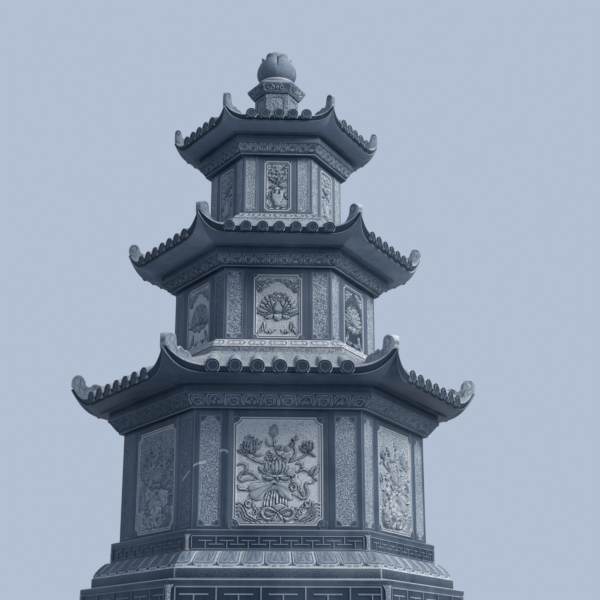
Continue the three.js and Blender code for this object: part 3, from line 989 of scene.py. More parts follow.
def draw_waves(carving, side):
    """Nested waves that roll in from a lower corner of the panel."""
    crest = ((306, 184, 0, 1), (262, 192, 0.2, 1), (233, 158, 0.45, 0.85))
    trail = ((213, 112, 0.6, 0.55), (178, 86, 0.7, 0.4), (112, 54, 0.7, 0.2))
    for k in range(4):
        path = [(side * (x + out * 25 * k), y - down * 25 * k) for x, y, out, down in crest + trail]
        carving.stroke(path, [18, 24, 25, 24, 21, 12], 10 - k, 0.5 - 0.03 * k, rim=4, bevel=11)
    start = 250 if side > 0 else 290
    carving.curl((side * 206, 188), 26, [16, 14, 12, 8], 4, 1.35, start, side, 11, 0.52, 7, 6)
    carving.stroke(sided(side, (178, 176), (165, 158), (150, 150), (118, 156)), [14, 12, 9, 4], 8)
    for x, y, size in ((166, 128, 22), (132, 96, 24)):
        carving.curl((side * x, y), size, [12, 11, 9, 6], 4, 1.1, 90, side, bevel=6)


def draw_knot(carving):
    """A knotted sash under the leaf, before a rounded stone."""
    carving.blob([(-40, 130), (-30, 165), (0, 184), (35, 182), (68, 160), (76, 132), (20, 116)], 8, 16, 0.5)
    for side in (-1, 1):
        carving.blob(sided(side, (30, 108), (66, 128), (92, 124), (84, 102), (50, 98)), 6, 10, 0.42)
        loop = sided(side, (0, 122), (44, 146), (88, 154), (113, 128), (98, 90), (62, 74), (26, 96), (0, 122))
        carving.stroke(loop, [8, 17, 20, 20, 20, 22, 17, 8], 12, 0.56, bevel=9)
        carving.cut_line(loop, 3, 2.5, -0.2)
        carving.stroke(sided(side, (0, 122), (22, 92), (44, 56)), [12, 15, 12], 11, 0.6)
    carving.stroke([(-70, 60), (-20, 56), (40, 60)], [10, 16, 10], 8, 0.5)


def draw_drooping_leaf(carving):
    """A broad lotus leaf that hangs over its stems, with rolled lobes at its right."""
    for x in (-100, -80, -54, -32, -8, 18, 40, 60):
        stem = [(0.72 * x, 268), (0.9 * x, 220), (x, 158 + 10 * math.cos(x / 30))]
        carving.stroke(stem, [9, 12, 12], 8, 0.66, rim=5, bevel=6)
    leaf = carving.blob([
        (-100, 334), (-137, 332), (-181, 326), (-207, 308), (-210, 286), (-193, 269), (-205, 248),
        (-191, 225), (-162, 211), (-134, 208), (-112, 221), (-100, 243), (-83, 264), (-57, 276),
        (-29, 287), (-7, 276), (5, 255), (26, 235), (54, 225), (81, 211), (102, 219), (93, 241),
        (98, 258), (81, 276), (88, 289), (76, 312), (100, 340), (96, 380), (-5, 384), (-84, 378),
    ], 11, 20, 0.55)
    hub = (-29, 324)
    for end in (
        (-190, 268), (-150, 222), (-98, 246), (-57, 280), (-29, 290), (6, 258), (54, 230), (94, 250),
        (78, 278), (70, 330), (-134, 330),
    ):
        middle = (0.5 * (hub[0] + end[0]), 0.5 * (hub[1] + end[1]) + 6)
        carving.cut_line([hub, middle, end], 5, 4.5, -0.24, leaf)
    # A pale band just inside the leaf's edge: a painted highlight.
    carving.add(fade(leaf - 5, 4) * (leaf > 0), 2.5, 0.2)
    fold = carving.leaf_distance((-180, 300), (-100, 318), 24, -8)[0]
    carving.add(np.clip(fold / 8, 0, 1), 4, 0.1)
    lobes = carving.blob([
        (97, 330), (92, 362), (104, 392), (126, 402), (140, 384), (141, 360), (160, 344), (162, 322),
        (144, 298), (118, 284), (92, 290), (74, 306),
    ], 13, 16, 0.57)
    carving.cut_line([(110, 395), (118, 360), (112, 330)], 3, 2.5, -0.2, lobes)
    carving.cut_line([(118, 360), (142, 344)], 3, 2.5, -0.2, lobes)
    carving.curl((106, 300), 25, [11, 12, 11, 8], 8, 1.1, 80, -1, 15, 0.62, 5)


def draw_open_cup(carving):
    """The large lotus in the middle, with its back leaves and sepals."""
    carving.leaf((10, 480), (-100, 512), 34, 4, 9, 0.52)
    carving.leaf((10, 470), (-128, 470), 34, -6, 9, 0.52)
    carving.leaf((20, 470), (84, 536), 44, -8, 9, 0.52)
    carving.leaf((48, 400), (120, 436), 58, -20, 11, 0.55, veins=2)
    carving.leaf((-86, 392), (-142, 446), 22, 4, 9, 0.35)
    draw_dots(carving, (-14, 496), (62, 34), 60, 7.5)
    draw_cup(carving, -12, 388, 500, 142, 7, 0.5)
    carving.leaf((-24, 366), (-116, 378), 30, 12, 12, 0.3, veins=0)
    carving.leaf((10, 366), (94, 376), 26, -10, 12, 0.3, veins=0)
    carving.leaf((-8, 374), (-4, 342), 28, 0, 12, 0.3, veins=0)
    for x, y, size, way in ((-64, 548, 20, 1), (-46, 522, 16, -1), (18, 578, 22, -1), (40, 530, 16, 1)):
        carving.curl((x, y), size, [9, 9, 8, 5], handed=way, rise=9, tone=0.52, rim=5)


def draw_flower_heads(carving):
    """The bud and the three smaller flowers on their stems."""
    for stem in (
        [(-34, 666), (-28, 616), (-14, 568), (14, 527), (80, 486)],
        [(-222, 524), (-183, 501), (-141, 483), (-96, 478)],
        [(109, 590), (125, 562), (115, 527), (88, 504), (48, 506)],
        [(205, 548), (199, 535), (169, 515), (127, 500), (82, 486)],
    ):
        carving.stroke(stem, [9, 11, 12], 10, 0.45, bevel=6)
    draw_bud(carving, (-34, 660), (-30, 752), 60)
    carving.leaf((-36, 590), (-92, 648), 20, 14, 9, 0.4)
    carving.leaf((-222, 520), (-300, 562), 20, -8, 10, 0.35)
    carving.leaf((-178, 536), (-112, 532), 22, -5, 10, 0.42)
    draw_dots(carving, (-208, 652), (34, 20), 22, 7)
    petals = ((-272, 604, 30, 10), (-250, 628, 28, 6), (-116, 630, 26, -6), (-152, 648, 30, -4))
    for x, y, width, bend in petals:
        carving.leaf((-196, 540), (x, y), width, bend, 11, 0.45)
    draw_cup(carving, -193, 533, 642, 84, 5)
    for x, y in ((84, 596), (104, 604), (92, 620), (114, 624), (128, 640), (108, 644), (132, 660)):
        carving.leaf((x - 9, y - 9), (x + 11, y + 12), 20, 0, 11, 0.42, rim=4)
    carving.blob([(44, 566), (50, 590), (72, 596), (88, 584), (80, 562), (60, 554)], 11, 12, 0.42)
    carving.leaf((214, 550), (150, 594), 22, 8, 10, 0.34)
    carving.leaf((212, 556), (266, 518), 24, 6, 10, 0.38)
    draw_cup(carving, 218, 556, 644, 66, 4)


def draw_ribbons(carving):
    """Loose ribbons, narrow at both ends and grooved, and twigs at either side."""
    for width, *path in (
        (17, (-294, 454), (-255, 469), (-224, 450), (-232, 414), (-267, 390), (-277, 362), (-252, 344),
         (-215, 356), (-172, 352)),
        (18, (-246, 392), (-207, 406), (-172, 392), (-140, 358)),
        (14, (-290, 312), (-268, 286), (-236, 284), (-198, 276)),
        (16, (124, 466), (157, 476), (173, 452), (160, 424), (120, 400)),
        (17, (252, 334), (214, 334), (195, 312), (210, 273), (206, 240), (175, 224), (138, 243), (96, 262)),
        (14, (106, 322), (140, 300), (170, 262), (176, 240)),
    ):
        carving.stroke(path, [0.35 * width, width, width, 0.9 * width, 0.35 * width], 10, 0.5)
        carving.cut_line(path, 3, 2.5, -0.2)
    carving.stroke([(150, 412), (163, 423), (193, 428), (223, 403), (272, 352)], [8, 11, 11, 9], 10, 0.4)
    carving.leaf((222, 392), (262, 452), 34, -6, 11, 0.5)
    carving.leaf((246, 380), (292, 466), 24, -6, 10, 0.55)


def draw_lotus_pond(carving):
    """Lotuses on tall stems over a drooping leaf, ribbons and waves."""
    for side in (-1, 1):
        draw_waves(carving, side)
    draw_ribbons(carving)
    draw_drooping_leaf(carving)
    draw_flower_heads(carving)
    draw_open_cup(carving)
    draw_knot(carving)


def draw_corner_sprays(carving, half, foot, head):
    """Slanting leaves in the panel's corners, under scalloped brackets at its head."""
    for side in (-1, 1):
        for k in range(4):
            near, away = (half - 12 - 17 * k, foot + 14 + 12 * k), (half - 34 - 8 * k, foot + 50 + 22 * k)
            carving.leaf(*sided(side, near, away), 17, 0, 8, 0.5, veins=0)
        for k in range(3):
            near, away = (half - 2, head - 26 - 26 * k), (half - 46 + 4 * k, head - 62 - 28 * k)
            carving.leaf(*sided(side, near, away), 18, side * 5, 8, 0.45, veins=0)
        scallops = ((0, 22), (24, 22), (38, 36), (66, 44), (84, 70), (112, 76), (128, 104), (150, 116))
        carving.stroke([(side * x, head - drop) for x, drop in scallops], [9, 10, 10, 8], 9, 0.4)
        for x, drop, size in ((96, 34, 20), (128, 48, 18), (66, 22, 13)):
            carving.curl((side * x, head - drop), size, [8, 8, 6], handed=side)


def draw_open_lotus(carving):
    """One open lotus in the middle of its panel, with scrolls in the corners."""
    edge = FRAMES[1]
    draw_corner_sprays(
        carving, edge["half"] - GROUND_INSET, edge["foot"] + GROUND_INSET, edge["head"] - GROUND_INSET)
    draw_petals(carving, (2, 252), 150, (74, 58, 42, 26, 10), 36, 0.5, 0.7)
    draw_dots(carving, (6, 348), (76, 42), 60, 7)
    draw_petals(carving, (0, 242), 112, (78, 62, 46, 30), 34, 0.47, 0.55)
    for side in (-1, 1):
        carving.leaf(*sided(side, (26, 226), (158, 232)), 30, -side * 12, 10, 0.5)
        carving.leaf(*sided(side, (30, 214), (102, 194)), 30, -side * 8, 11, 0.5)
        carving.leaf(*sided(side, (66, 238), (168, 272)), 26, -side * 8, 9, 0.5)
        carving.stroke(sided(side, (158, 224), (120, 216), (84, 222)), [4, 8, 4], 5, 0.15)
    drop = [(-5, 328), (-24, 300), (-36, 268), (-28, 240), (0, 228), (28, 240), (36, 268), (20, 300)]
    rounded = carving.blob(drop, 15, 14, 0.46)
    # A sunk line inside the rounded drop, painted darker: painted shade.
    carving.add(fade(rounded - 10, 3), -3, -0.25)
    cup = carving.blob([(-32, 222), (-30, 192), (-8, 168), (12, 168), (30, 194), (30, 222), (0, 214)], 12, 14)
    carving.cut_line([(-12, 216), (-10, 190), (0, 176), (12, 190), (12, 216)], 3, 2.5, -0.2, cup)
    for side in (-1, 1):
        carving.stroke(sided(side, (20, 92), (60, 70), (104, 84)), [4, 8, 4], 6, 0.5)
        carving.leaf(*sided(side, (62, 66), (60, 96)), 16, 0, 7, 0.42, veins=0)


def draw_flowering_branch(carving):
    """Crossed branches over a rounded vase."""
    vase = carving.blob([
        (-20, 232), (-44, 214), (-50, 176), (-46, 130), (-30, 100), (-34, 78), (0, 68), (28, 78), (24, 100),
        (38, 130), (42, 176), (36, 214), (14, 232),
    ], 12, 16, 0.55)
    carving.cut_line([(-44, 150), (0, 142), (38, 150)], 3, 2.5, -0.25, vase)
    carving.cut_line([(-34, 102), (0, 96), (28, 102)], 3, 2.5, -0.25, vase)
    for x, y in ((-24, 204), (16, 204), (-24, 184), (12, 178)):
        carving.leaf((x - 10, y), (x + 12, y + 3), 11, 3, 12, 0.25, veins=0, rim=3)
    for stem in (
        [(0, 262), (-12, 300), (-13, 350), (-26, 412)],
        [(-4, 262), (-26, 320), (-50, 358), (-60, 388)],
        [(2, 262), (8, 310), (12, 352), (8, 386)],
        [(4, 262), (40, 318), (58, 352), (66, 398)],
    ):
        carving.stroke(stem, [7, 7, 5, 3], 8, 0.45, rim=4)
        for x, y in stem[1:]:
            for way in (-1, 1):
                carving.leaf((x, y), (x + way * 21, y + 18), 10, -way * 3, 9, 0.5, veins=0, rim=3)
    for base, tip, bend in (
        ((-2, 262), (-80, 318), -8), ((-4, 258), (-70, 234), 6), ((6, 258), (68, 236), -6),
        ((4, 262), (74, 304), 8), ((0, 252), (-2, 306), 0),
    ):
        carving.leaf(base, tip, 20, bend, 12, 0.36)
    for x, y, size in ((54, 408, 17), (76, 416, 12), (-66, 340, 12)):
        carving.curl((x, y), size, [7, 7, 5], tone=0.52)
    for side in (-1, 1):
        carving.stroke(sided(side, (80, 84), (62, 60), (36, 66), (20, 52)), [6, 10, 10, 5], 8, 0.5)
        carving.stroke(sided(side, (84, 62), (60, 50), (30, 52)), [6, 9, 5], 7, 0.5)
        carving.leaf(*sided(side, (54, 172), (84, 132)), 18, side * 4, 9, 0.45)
        carving.leaf(*sided(side, (62, 146), (66, 196)), 14, 0, 8, 0.5)


def build_wall_3():
    half = STOREYS[2]["radius"] / 2 - PILASTER_WIDTHS[2]
    us, levels, panel = framed_panel(3, half, draw_flowering_branch, 6.2)
    wing_us = corner_lines(3, 3, 12)
    wing = narrow_relief(wing_us, levels, 3)
    bevel_edges(wing, wing_us, levels)
    shape = Shape()
    for face in range(FACES):
        add_slab(shape, face, 3, us, levels, panel, mirrored=face % 2 == 1)
        for mirrored in (False, True):
            add_slab(shape, face, 3, wing_us, levels, wing, mirrored=mirrored)
    shape.make("wall_3", "carved", "carved_stone", 50)


# Cornices

def cornice_relief(us, rows, tall, half, pitch):
    """Rounded cloud scrolls in double lines, mirrored about the middle of the face."""
    carving = Carving(us, rows * tall, 0.1, 0.25)
    count = round(half / pitch)
    unit = half / count

    def line(points):
        distance = carving.stroke_distance(smooth_path(points), [3, 3])
        raised = np.clip(distance / 2.5 + 0.9, 0, 1)
        carving.height = np.maximum(carving.height, 4 * raised)
        carving.tone = np.maximum(carving.tone, 0.06 + 0.72 * raised)

    def hook(side, middle, way, shrink):
        start, top = middle - way * (0.46 - shrink) * unit, (0.9 - shrink) * tall
        line(sided(
            side, (start, (0.16 + 1.2 * shrink) * tall), (start + 2 * way, 0.55 * tall),
            (start + 0.12 * way * unit, top), (middle - 0.4 * way * shrink * unit, top)))

    for side in (-1, 1):
        for k in range(count):
            middle = (k + 0.5) * unit
            for way in (-1, 1):
                hook(side, middle, way, 0)
                hook(side, middle, way, 0.13)
            if k % 2:
                for way in (-1, 1):
                    place = (side * (middle + way * 0.13 * unit), 0.34 * tall)
                    line(spiral(place, 0.13 * tall, 3, 1.1, 90, way)[::2])
                line(sided(side, (middle, 0.5 * tall), (middle + 1, 0.66 * tall)))
            else:
                low, high, reach = 0.16 * tall, 0.6 * tall, 0.2 * unit
                line(sided(
                    side, (middle - reach, low), (middle - reach, high), (middle + reach, high),
                    (middle + reach, low + 4), (middle - 0.4 * reach, low + 4),
                    (middle - 0.4 * reach, 0.42 * tall), (middle + 0.3 * reach, 0.42 * tall)))
    return carving


def hollow_radius(number):
    """The radius of the hollow inside a storey's wall and what stands on it."""
    return STOREYS[number - 1]["radius"] - WALL_THICKNESS / APOTHEM


def build_cornice(number):
    form, inner = CORNICES[number - 1], hollow_radius(number)
    node = f"cornice_{number}"
    low, high = box_of(node)
    foot, head = low[2], high[2]
    rim, crease, lip = form["top"], foot + form["band"] * BAND_SHARE, foot + form["band"]
    sunk = 12
    shape = Shape()
    add_course(shape, [
        (inner, foot), (form["foot"], foot), (form["foot"], foot + LEDGE),
        (form["foot"] - sunk, foot + LEDGE + 1), (rim - LEDGE - sunk, crease - 1),
        (rim, crease), (rim, lip), (rim - 9, lip + 2), (rim - 9, head), (inner, head),
    ], [DEEP, 0.5, 0.3, 0.1, 0.2, 0.16, 0.16, 0.2, DEEP, DEEP], cut=3, closed=True, arris_tone=0.36)
    ends = (form["foot"], foot + LEDGE + 1), (rim - LEDGE, crease - 1)
    us, rows, tall = band_grid(*ends, 5.8, 5)
    carving = cornice_relief(us, rows, tall, us[-1], form["unit"])
    # Left faces are painted darker: painted shade.
    add_band(shape, us, rows, *ends, carving, sunk, CORNICE_PAINTED_SHADING)
    shape.make(node, "carved", "carved_stone", 45)


# Roofs

def face_shares():
    """Places along half a face and back, closer together towards its corners."""
    rising = 1 - (1 - LEVEL_SHARE) * (1 - np.linspace(0, 1, 15)) ** 1.25
    half = np.concatenate([np.linspace(0, LEVEL_SHARE, 5)[:-1], rising])
    return np.concatenate([-half[:0:-1], half])


SHARES = face_shares()
LIFT = (np.maximum(0, np.abs(SHARES) - LEVEL_SHARE) / (1 - LEVEL_SHARE)) ** LIFT_POWER
EDGE_LIFT = LIFT ** 0.8


def swept(face, line, out=0.0, up=0.0, lift=LIFT):
    """A line along a face that sweeps out and up from (reach, z) to its corners' (tip, z)."""
    reach, z, tip, tip_z = line
    w = blend(reach, tip * APOTHEM, LIFT) + out
    return on_face(face, SHARES * (tip / 2 + out * HALF_SIDE), w, blend(z, tip_z, lift) + up)


def level_line(face, radius, z):
    return on_face(face, SHARES * radius / 2, radius * APOTHEM, z)


def add_rows(shape, make_rows, tones, grains, painted_shading):
    """Joins rows of points round all six faces into a ring. A tone may vary along its row."""
    strips = len(SHARES) - 1
    tone = np.concatenate([np.broadcast_to(value, strips) for value in tones])[:, None]
    grain = np.repeat(grains, strips)[:, None]
    for face in range(FACES):
        rows = make_rows(face)
        faces = grid_faces(numbered(len(rows) + 1, len(SHARES)))
        # Each face's tone is shifted by its side: painted light and shade.
        shape.add(np.concatenate(rows + rows[:1]), faces, tone + painted_side_shading(painted_shading, face), grain)


def lip_of(roof):
    return roof["lip"], roof["lip_z"], roof["tip"], roof["tip_z"]


def curve(start, pull, end, steps=6):
    """Points on the way from start to end, drawn towards pull, with start left out."""
    start, pull, end = (np.array(point, float) for point in (start, pull, end))
    shares = np.arange(1, steps + 1) / steps
    return [(1 - t) ** 2 * start + 2 * t * (1 - t) * pull + t * t * end for t in shares]


def build_eaves(number):
    roof, inner = ROOFS[number - 1], hollow_radius(number)
    bed = box_of(f"cornice_{number}")[1][2] + JOINT
    step, step_z, lip = roof["step"], bed + STEP_HEIGHT, lip_of(roof)
    middle = (
        (step * APOTHEM + roof["lip"]) / 2 + LEDGE, blend(step_z, roof["lip_z"], 0.35),
        (step + roof["tip"]) / 2, blend(step_z, roof["tip_z"], 0.32),
    )
    beads = [(-1, 3), (2, 4), (3, 8), (1, 11), (-5, 12), (-6, roof["lip_height"])]

    def make_rows(face):
        first, second, third = level_line(face, step, step_z), swept(face, middle), swept(face, lip)
        pull = 2 * second - (first + third) / 2
        rows = [level_line(face, inner, bed), level_line(face, step, bed), first]
        rows.extend(curve(first, pull, third, 8))
        rows.extend(swept(face, lip, out, up) for out, up in beads)
        rows.append(level_line(face, inner, roof["lip_z"] + roof["lip_height"]))
        return rows

    # The fascia is painted paler towards its lifted corners: a painted highlight.
    shine = 0.25 + 0.4 * (0.5 * (LIFT[:-1] + LIFT[1:])) ** 0.3
    tones = [0.1, 0.2] + [roof["soffit"]] * 8 + [0.12, shine, shine, shine, 0.04, 0.04, DEEP, DEEP]
    shape = Shape()
    # Soffit tones are shifted by side: painted light and shade.
    add_rows(shape, make_rows, tones, [0.0] * len(tones), SOFFIT_PAINTED_SHADING[number - 1])
    shape.make(f"eaves_{number}", "swept", "dressed_stone", 38)


def slope_rows(face, roof):
    """Rows from the foot of the leaning fascia up to the head of the tiled slope."""
    tip_z = roof["tip_z"] + roof["lip_height"] + roof["edge_rise"]
    edge = roof["edge"], roof["edge_z"], roof["tip"], tip_z
    rows = [swept(face, lip_of(roof), -9, roof["lip_height"] - 1)]
    for out, up in ((-2.5, -6), (0, -3), (0, 1), (-5, 6)):
        rows.append(swept(face, edge, out, up, EDGE_LIFT))
    share = (roof["edge"] - roof["flare"] * APOTHEM) / (roof["edge"] - roof["bend"] * APOTHEM)
    kerb = roof["head"] + roof["kerb"]
    kerb_z = blend(roof["bend_z"], roof["head_z"], (roof["bend"] - kerb) / (roof["bend"] - roof["head"]))
    for steps, radius, z in (
        (4, roof["flare"], blend(roof["edge_z"], roof["bend_z"], share)),
        (2, roof["bend"], roof["bend_z"]),
        (3, kerb, kerb_z - 10),
        (1, roof["head"], roof["head_z"]),
    ):
        low, line = rows[-1], level_line(face, radius, z)
        rows.extend(blend(low, line, (k + 1) / steps) for k in range(steps))
    return rows


def roll_ring(u, z, radius):
    """A roll's section as (u, z) points: round, with a spreading foot and a flat underside."""
    turns = np.linspace(-47, 227, 17)
    angles = np.radians(turns)
    radius = radius * (0.85 + 0.15 * np.clip((np.abs(turns - 90) - 75) / 55, 0, 1))
    return u + radius * np.cos(angles), z + radius * np.sin(angles)


def add_roll(shape, face, u, rolls):
    """A tile roll that sinks into the slope, with a pale collar round a dark ringed end."""
    reach, rise = rolls["reach"], rolls["rise"]
    small_along, small_level = roll_ring(u, rolls["z"], rolls["radius"] - 3)
    along, level = roll_ring(u, rolls["z"], rolls["radius"])
    stop = np.maximum(rolls["end"], np.abs(along) / HALF_SIDE - 3)
    loops = [on_face(face, small_along, reach, small_level), on_face(face, along, reach - 4, level)]
    for share in (0.06, 0.3, 0.6, 1.0):
        w = blend(reach, stop, share)
        loops.append(on_face(face, along, w, level + (reach - w) * rise))
    tones = np.repeat([0.62, 0.62, 0.5, 0.5, 0.5], len(along))[:, None]
    add_loops(shape, loops, tones, 0.7, caps=((0.62, 0.5), (0.3, 0.0)))
    add_roundel(shape, face, u, rolls)


def add_roundel(shape, face, u, rolls):
    """A roll's dark end: a broad rim, a thin ring and a sunk middle."""
    rim, middle, ring = rolls["tones"]
    # The sunk rings are painted darker than the rim: painted shade.
    sunk = rim - 0.3
    profile = [(share * rolls["disc"], out, tone) for share, out, tone in (
        (1, -6, rim), (1, 3, rim), (0.96, 5, rim), (0.84, 5, rim), (0.81, 1.5, sunk), (0.75, 1.5, sunk),
        (0.73, 4, ring), (0.66, 4, ring), (0.62, 1.5, sunk), (0.3, 1.5, middle), (0.02, 2.5, middle),
    )]
    centre, axis = on_face(face, u, rolls["reach"], rolls["z"]), on_face(face, 0, 1, 0)
    add_turned(shape, centre, axis, (0, 0, 1), profile, 20, 0.05)


def hip_bounds(roof, ridge):
    """The lower and the upper edge of a hip's side as (radius, z) points, and its scroll's middle."""
    tip, size = roof["tip"], ridge["scroll"]
    disc = np.array([tip - size, ridge["top"] - size])
    lip = roof["tip_z"] + roof["lip_height"]
    hollow, hump, tail = (np.array(ridge[key], float) for key in ("hollow", "hump", "tail"))
    inner = disc - (size, 0)
    start = np.array([roof["bend"], roof["bend_z"] - 60])
    lower = [start, (blend(roof["step"], tip, 0.5), blend(roof["lip_z"], lip, 0.3)), (tip - 24, lip - 4)]
    lower += curve(lower[-1], (tip, lip + 4), (tip, lip + 26), 3)
    angles = np.radians(np.arange(0, 181, 10))
    upper = [disc + size * np.array([math.cos(angle), math.sin(angle)]) for angle in angles]
    upper += curve(inner, (inner[0] - 1, blend(inner[1], hollow[1], 0.7)), hollow)
    upper += curve(hollow, ((hollow[0] + hump[0]) / 2, hump[1] + 2), hump, 5)
    middle = blend(hump, tail, 0.45) - (0, 8)
    upper += curve(hump, hump - (8, 2), middle, 3)
    upper += curve(middle, middle + (-12, 14), tail, 4)
    upper += curve(tail, tail - (14, 2), (ridge["foot"], tail[1] - 34), 3)
    upper.append(start + (0, 8))
    return np.array(lower, float), np.array(upper[::-1], float), disc


def hip_carving(reach, level, lower, upper, disc, ridge):
    """A scroll, curls and a border cut in the side of a hip ridge."""
    size = ridge["scroll"]
    carving = Carving(reach, level, 0.68, 0.45)
    edge = np.minimum(level - np.interp(reach, *lower.T), 0.8 * (np.interp(reach, *upper.T) - level))
    # A sunk border line, painted darker: painted shade.
    carving.add(fade(edge - 12, 4), -3, -0.16)
    carving.add(fade(edge - 3, 4), 0, 0.12)
    eye = disc + (-0.12 * size, 0.02 * size)
    carving.cut_line(spiral(eye, 0.8 * size, 0.25 * size, 1.1, -120), 5, 5, -0.4, smooth=False)
    carving.add(fade(np.hypot(reach - eye[0], level - eye[1]), 0.16 * size), 4, 0.15)
    if ridge["curls"]:
        for across, down, curl_size, handed in (
            (0.5, 1.25, 0.4, 1), (1.3, 1.45, 0.36, -1), (2.5, 1, 0.36, 1), (3.4, 1.2, 0.3, -1),
            (4.3, 1.25, 0.26, 1),
        ):
            place = disc - (across * size, down * size)
            path = spiral(place, curl_size * size, 0.1 * size, 1.3, 90, handed)
            carving.cut_line(path, 4, 3.5, -0.3, smooth=False)
    return carving


def add_hip(shape, corner, roof, ridge):
    """A hip ridge that curls up into a horn: thin at its outer edge, and thicker behind it."""
    lower, upper, disc = hip_bounds(roof, ridge)
    angle = corner * TURN
    radial = np.array([math.cos(angle), math.sin(angle), 0])
    side = np.array([-math.sin(angle), math.cos(angle), 0])
    tip, size, foot = roof["tip"], ridge["scroll"], ridge["foot"]
    columns = np.concatenate([
        lines([roof["bend"], foot, tip - 2 * size - 1], 12), lines([tip - 2 * size + 1, tip - 0.3 * size], 7),
        tip - 0.3 * size * (1 - np.sin(np.linspace(0.25, 0.5 * math.pi, 7))),
    ])
    rows = np.array([0, 0.03, 0.09, 0.17, 0.26, 0.35, 0.44, 0.53, 0.62, 0.71, 0.8, 0.88, 0.94, 0.98, 1.0])
    low, high = (np.interp(columns, *bound.T)[:, None] for bound in (lower, upper))
    level = low + (high - low) * rows
    reach = np.broadcast_to(columns[:, None], level.shape)
    carving = hip_carving(reach, level, lower, upper, disc, ridge)
    width, thick = ridge["width"], ridge["thick"]
    places = [foot, ridge["hump"][0], tip - 1.6 * size, tip - 0.5 * size, tip]
    half = np.interp(columns, places, [0.5 * width, 0.5 * width, 0.5 * thick, 0.4 * thick, 0.2 * thick])
    rounding = 6 * (1 - np.clip(np.minimum(level - low, high - level) / 9, 0, 1)) ** 2
    out = (half[:, None] - rounding + carving.height)[..., None] * side
    near = reach[..., None] * radial + level[..., None] * np.array([0, 0, 1])
    rings = np.concatenate([near + out, (near - out)[:, ::-1]], axis=1)
    tone = np.concatenate([carving.tone, carving.tone[:, ::-1]], axis=1)
    # Hip ridges at some corners are painted paler: painted light.
    tone = tone + ridge["shade"] + HIP_PAINTED_SHADING.get(CORNER_NAMES[corner], 0.0)
    add_loops(shape, rings, tone.ravel(), 0.25, caps=((0.4, 0.5), (0.5, 0.5)))


def build_tiles(number):
    roof, ridge, rolls = ROOFS[number - 1], RIDGES[number - 1], ROLLS[number - 1]
    shape = Shape()

    def make_rows(face):
        top, foot = roof["head_z"], roof["lip_z"] + roof["lip_height"] + 1
        return slope_rows(face, roof) + [level_line(face, roof["open"], z) for z in (top, foot)]

    tones = [0.0, 0.06, 0.6, 0.55] + [0.42] * 9 + [0.4] + [0.3] * 3
    add_rows(shape, make_rows, tones, [0.1] * 3 + [0.8] * 11 + [0.1] * 3, EVEN)
    half = (rolls["count"] - 1) / 2
    for face in range(FACES):
        for k in range(rolls["count"]):
            add_roll(shape, face, (k - half) * rolls["pitch"], rolls)
        add_hip(shape, face, roof, ridge)
    shape.make(f"tiles_{number}", "laid", "carved_stone", 40)


# Platforms

def cartouche_relief(us, rows, tall, pitch):
    """A row of lying oblong petals in double lines."""
    carving = Carving(us, rows * tall, grain=0.6)
    share = np.abs((carving.x / pitch + 0.5) % 1 - 0.5)
    gap_x = (0.5 - share) * pitch - 5
    gap_y = np.minimum(carving.y - 0.12 * tall, 0.9 * tall - carving.y)
    corner = 0.3 * tall
    inside = corner - np.hypot(np.maximum(0, corner - gap_x), np.maximum(0, corner - gap_y))
    inside = np.where((gap_x > corner) | (gap_y > corner), np.minimum(gap_x, gap_y), inside)
    outline = fade(inside - 2, 3.5)
    carving.height = 4 * outline + 3 * np.clip(inside / 8, 0, 1)
    carving.tone = 0.5 + 0.45 * outline
    # A sunk line inside each outline, painted darker: painted shade.
    carving.add(fade(inside - 9, 4), -3, -0.5)
    carving.add(np.sin(share * pitch / 5.5) * (inside > 12), 1.5, 0.22)
    carving.tone = np.clip(np.where(inside < -1, 0.72, carving.tone + 0.14), 0, 1)
    return carving


def build_platform(number):
    form, inner = PLATFORMS[number - 2], hollow_radius(number)
    node = f"platform_{number}"
    low, high = box_of(node)
    bottom, head = low[2], high[2]
    band_foot = bottom + form["waist_height"]
    band_head = band_foot + form["band_height"]
    sunk = 10
    shape = Shape()
    add_course(shape, [
        (inner, bottom), (form["waist"], bottom), (form["waist"], band_foot - 1), (form["band"], band_foot),
        (form["band"] - sunk, band_foot + 1), (form["band_top"] - sunk, band_head - 1),
        (form["top"], head), (inner, head),
    ], [tone + form["shade"] for tone in (0.3, 0.7, 0.8, 0.6, 0.6, 0.42, 0.3, 0.3)],
        cut=4, closed=True, grain=1.0, arris_tone=ARRIS_WEAR_AND_HIGHLIGHT + form["shade"])
    ends = (form["band"], band_foot + 1), (form["band_top"], band_head)
    us, rows, tall = band_grid(*ends, 6, 5)
    carving = cartouche_relief(us, rows, tall, form["pitch"])
    carving.tone += form["shade"]
    add_band(shape, us, rows, *ends, carving, sunk)
    shape.make(node, "carved", "carved_stone", 45)


# Finial

def build_neck():
    low, high = box_of("neck")
    shape = Shape()
    add_course(shape, [(NECK_RADIUS - 8, low[2]), (NECK_RADIUS - 8, high[2])], [0.5], cut=3)
    ends = (NECK_RADIUS, low[2]), (NECK_RADIUS, high[2])
    us, rows, tall = band_grid(*ends, 4.95, 4.9)
    carving = Carving(us, rows * tall, grain=0.8, floor=-4.0)
    inside = carving.notched_frame(60, tall - 175, tall - 30, 17)
    line = fade(inside - 3, 3)
    carving.height = -4.0 * np.clip(inside / 5, 0, 1) + 2.5 * line
    carving.tone = 0.46 - 0.4 * line + 0.06 * (inside > 8)
    middle = tall - 102
    for turn in range(5):
        angle = math.pi / 2 + turn * 2 * math.pi / 5
        tip = (40 * math.cos(angle), middle + 44 * math.sin(angle))
        carving.leaf((0, middle), tip, 26, 0, 5, 0.5, rim=3)
    wave = ((-44, 52), (-15, 60), (0, 50), (15, 60), (44, 52))
    carving.stroke([(x, middle - drop) for x, drop in wave], [4, 7, 7, 7, 4], 4, rim=3)
    add_band(shape, us, rows, *ends, carving, 7)
    shape.make("neck", "carved", "carved_stone", 45)


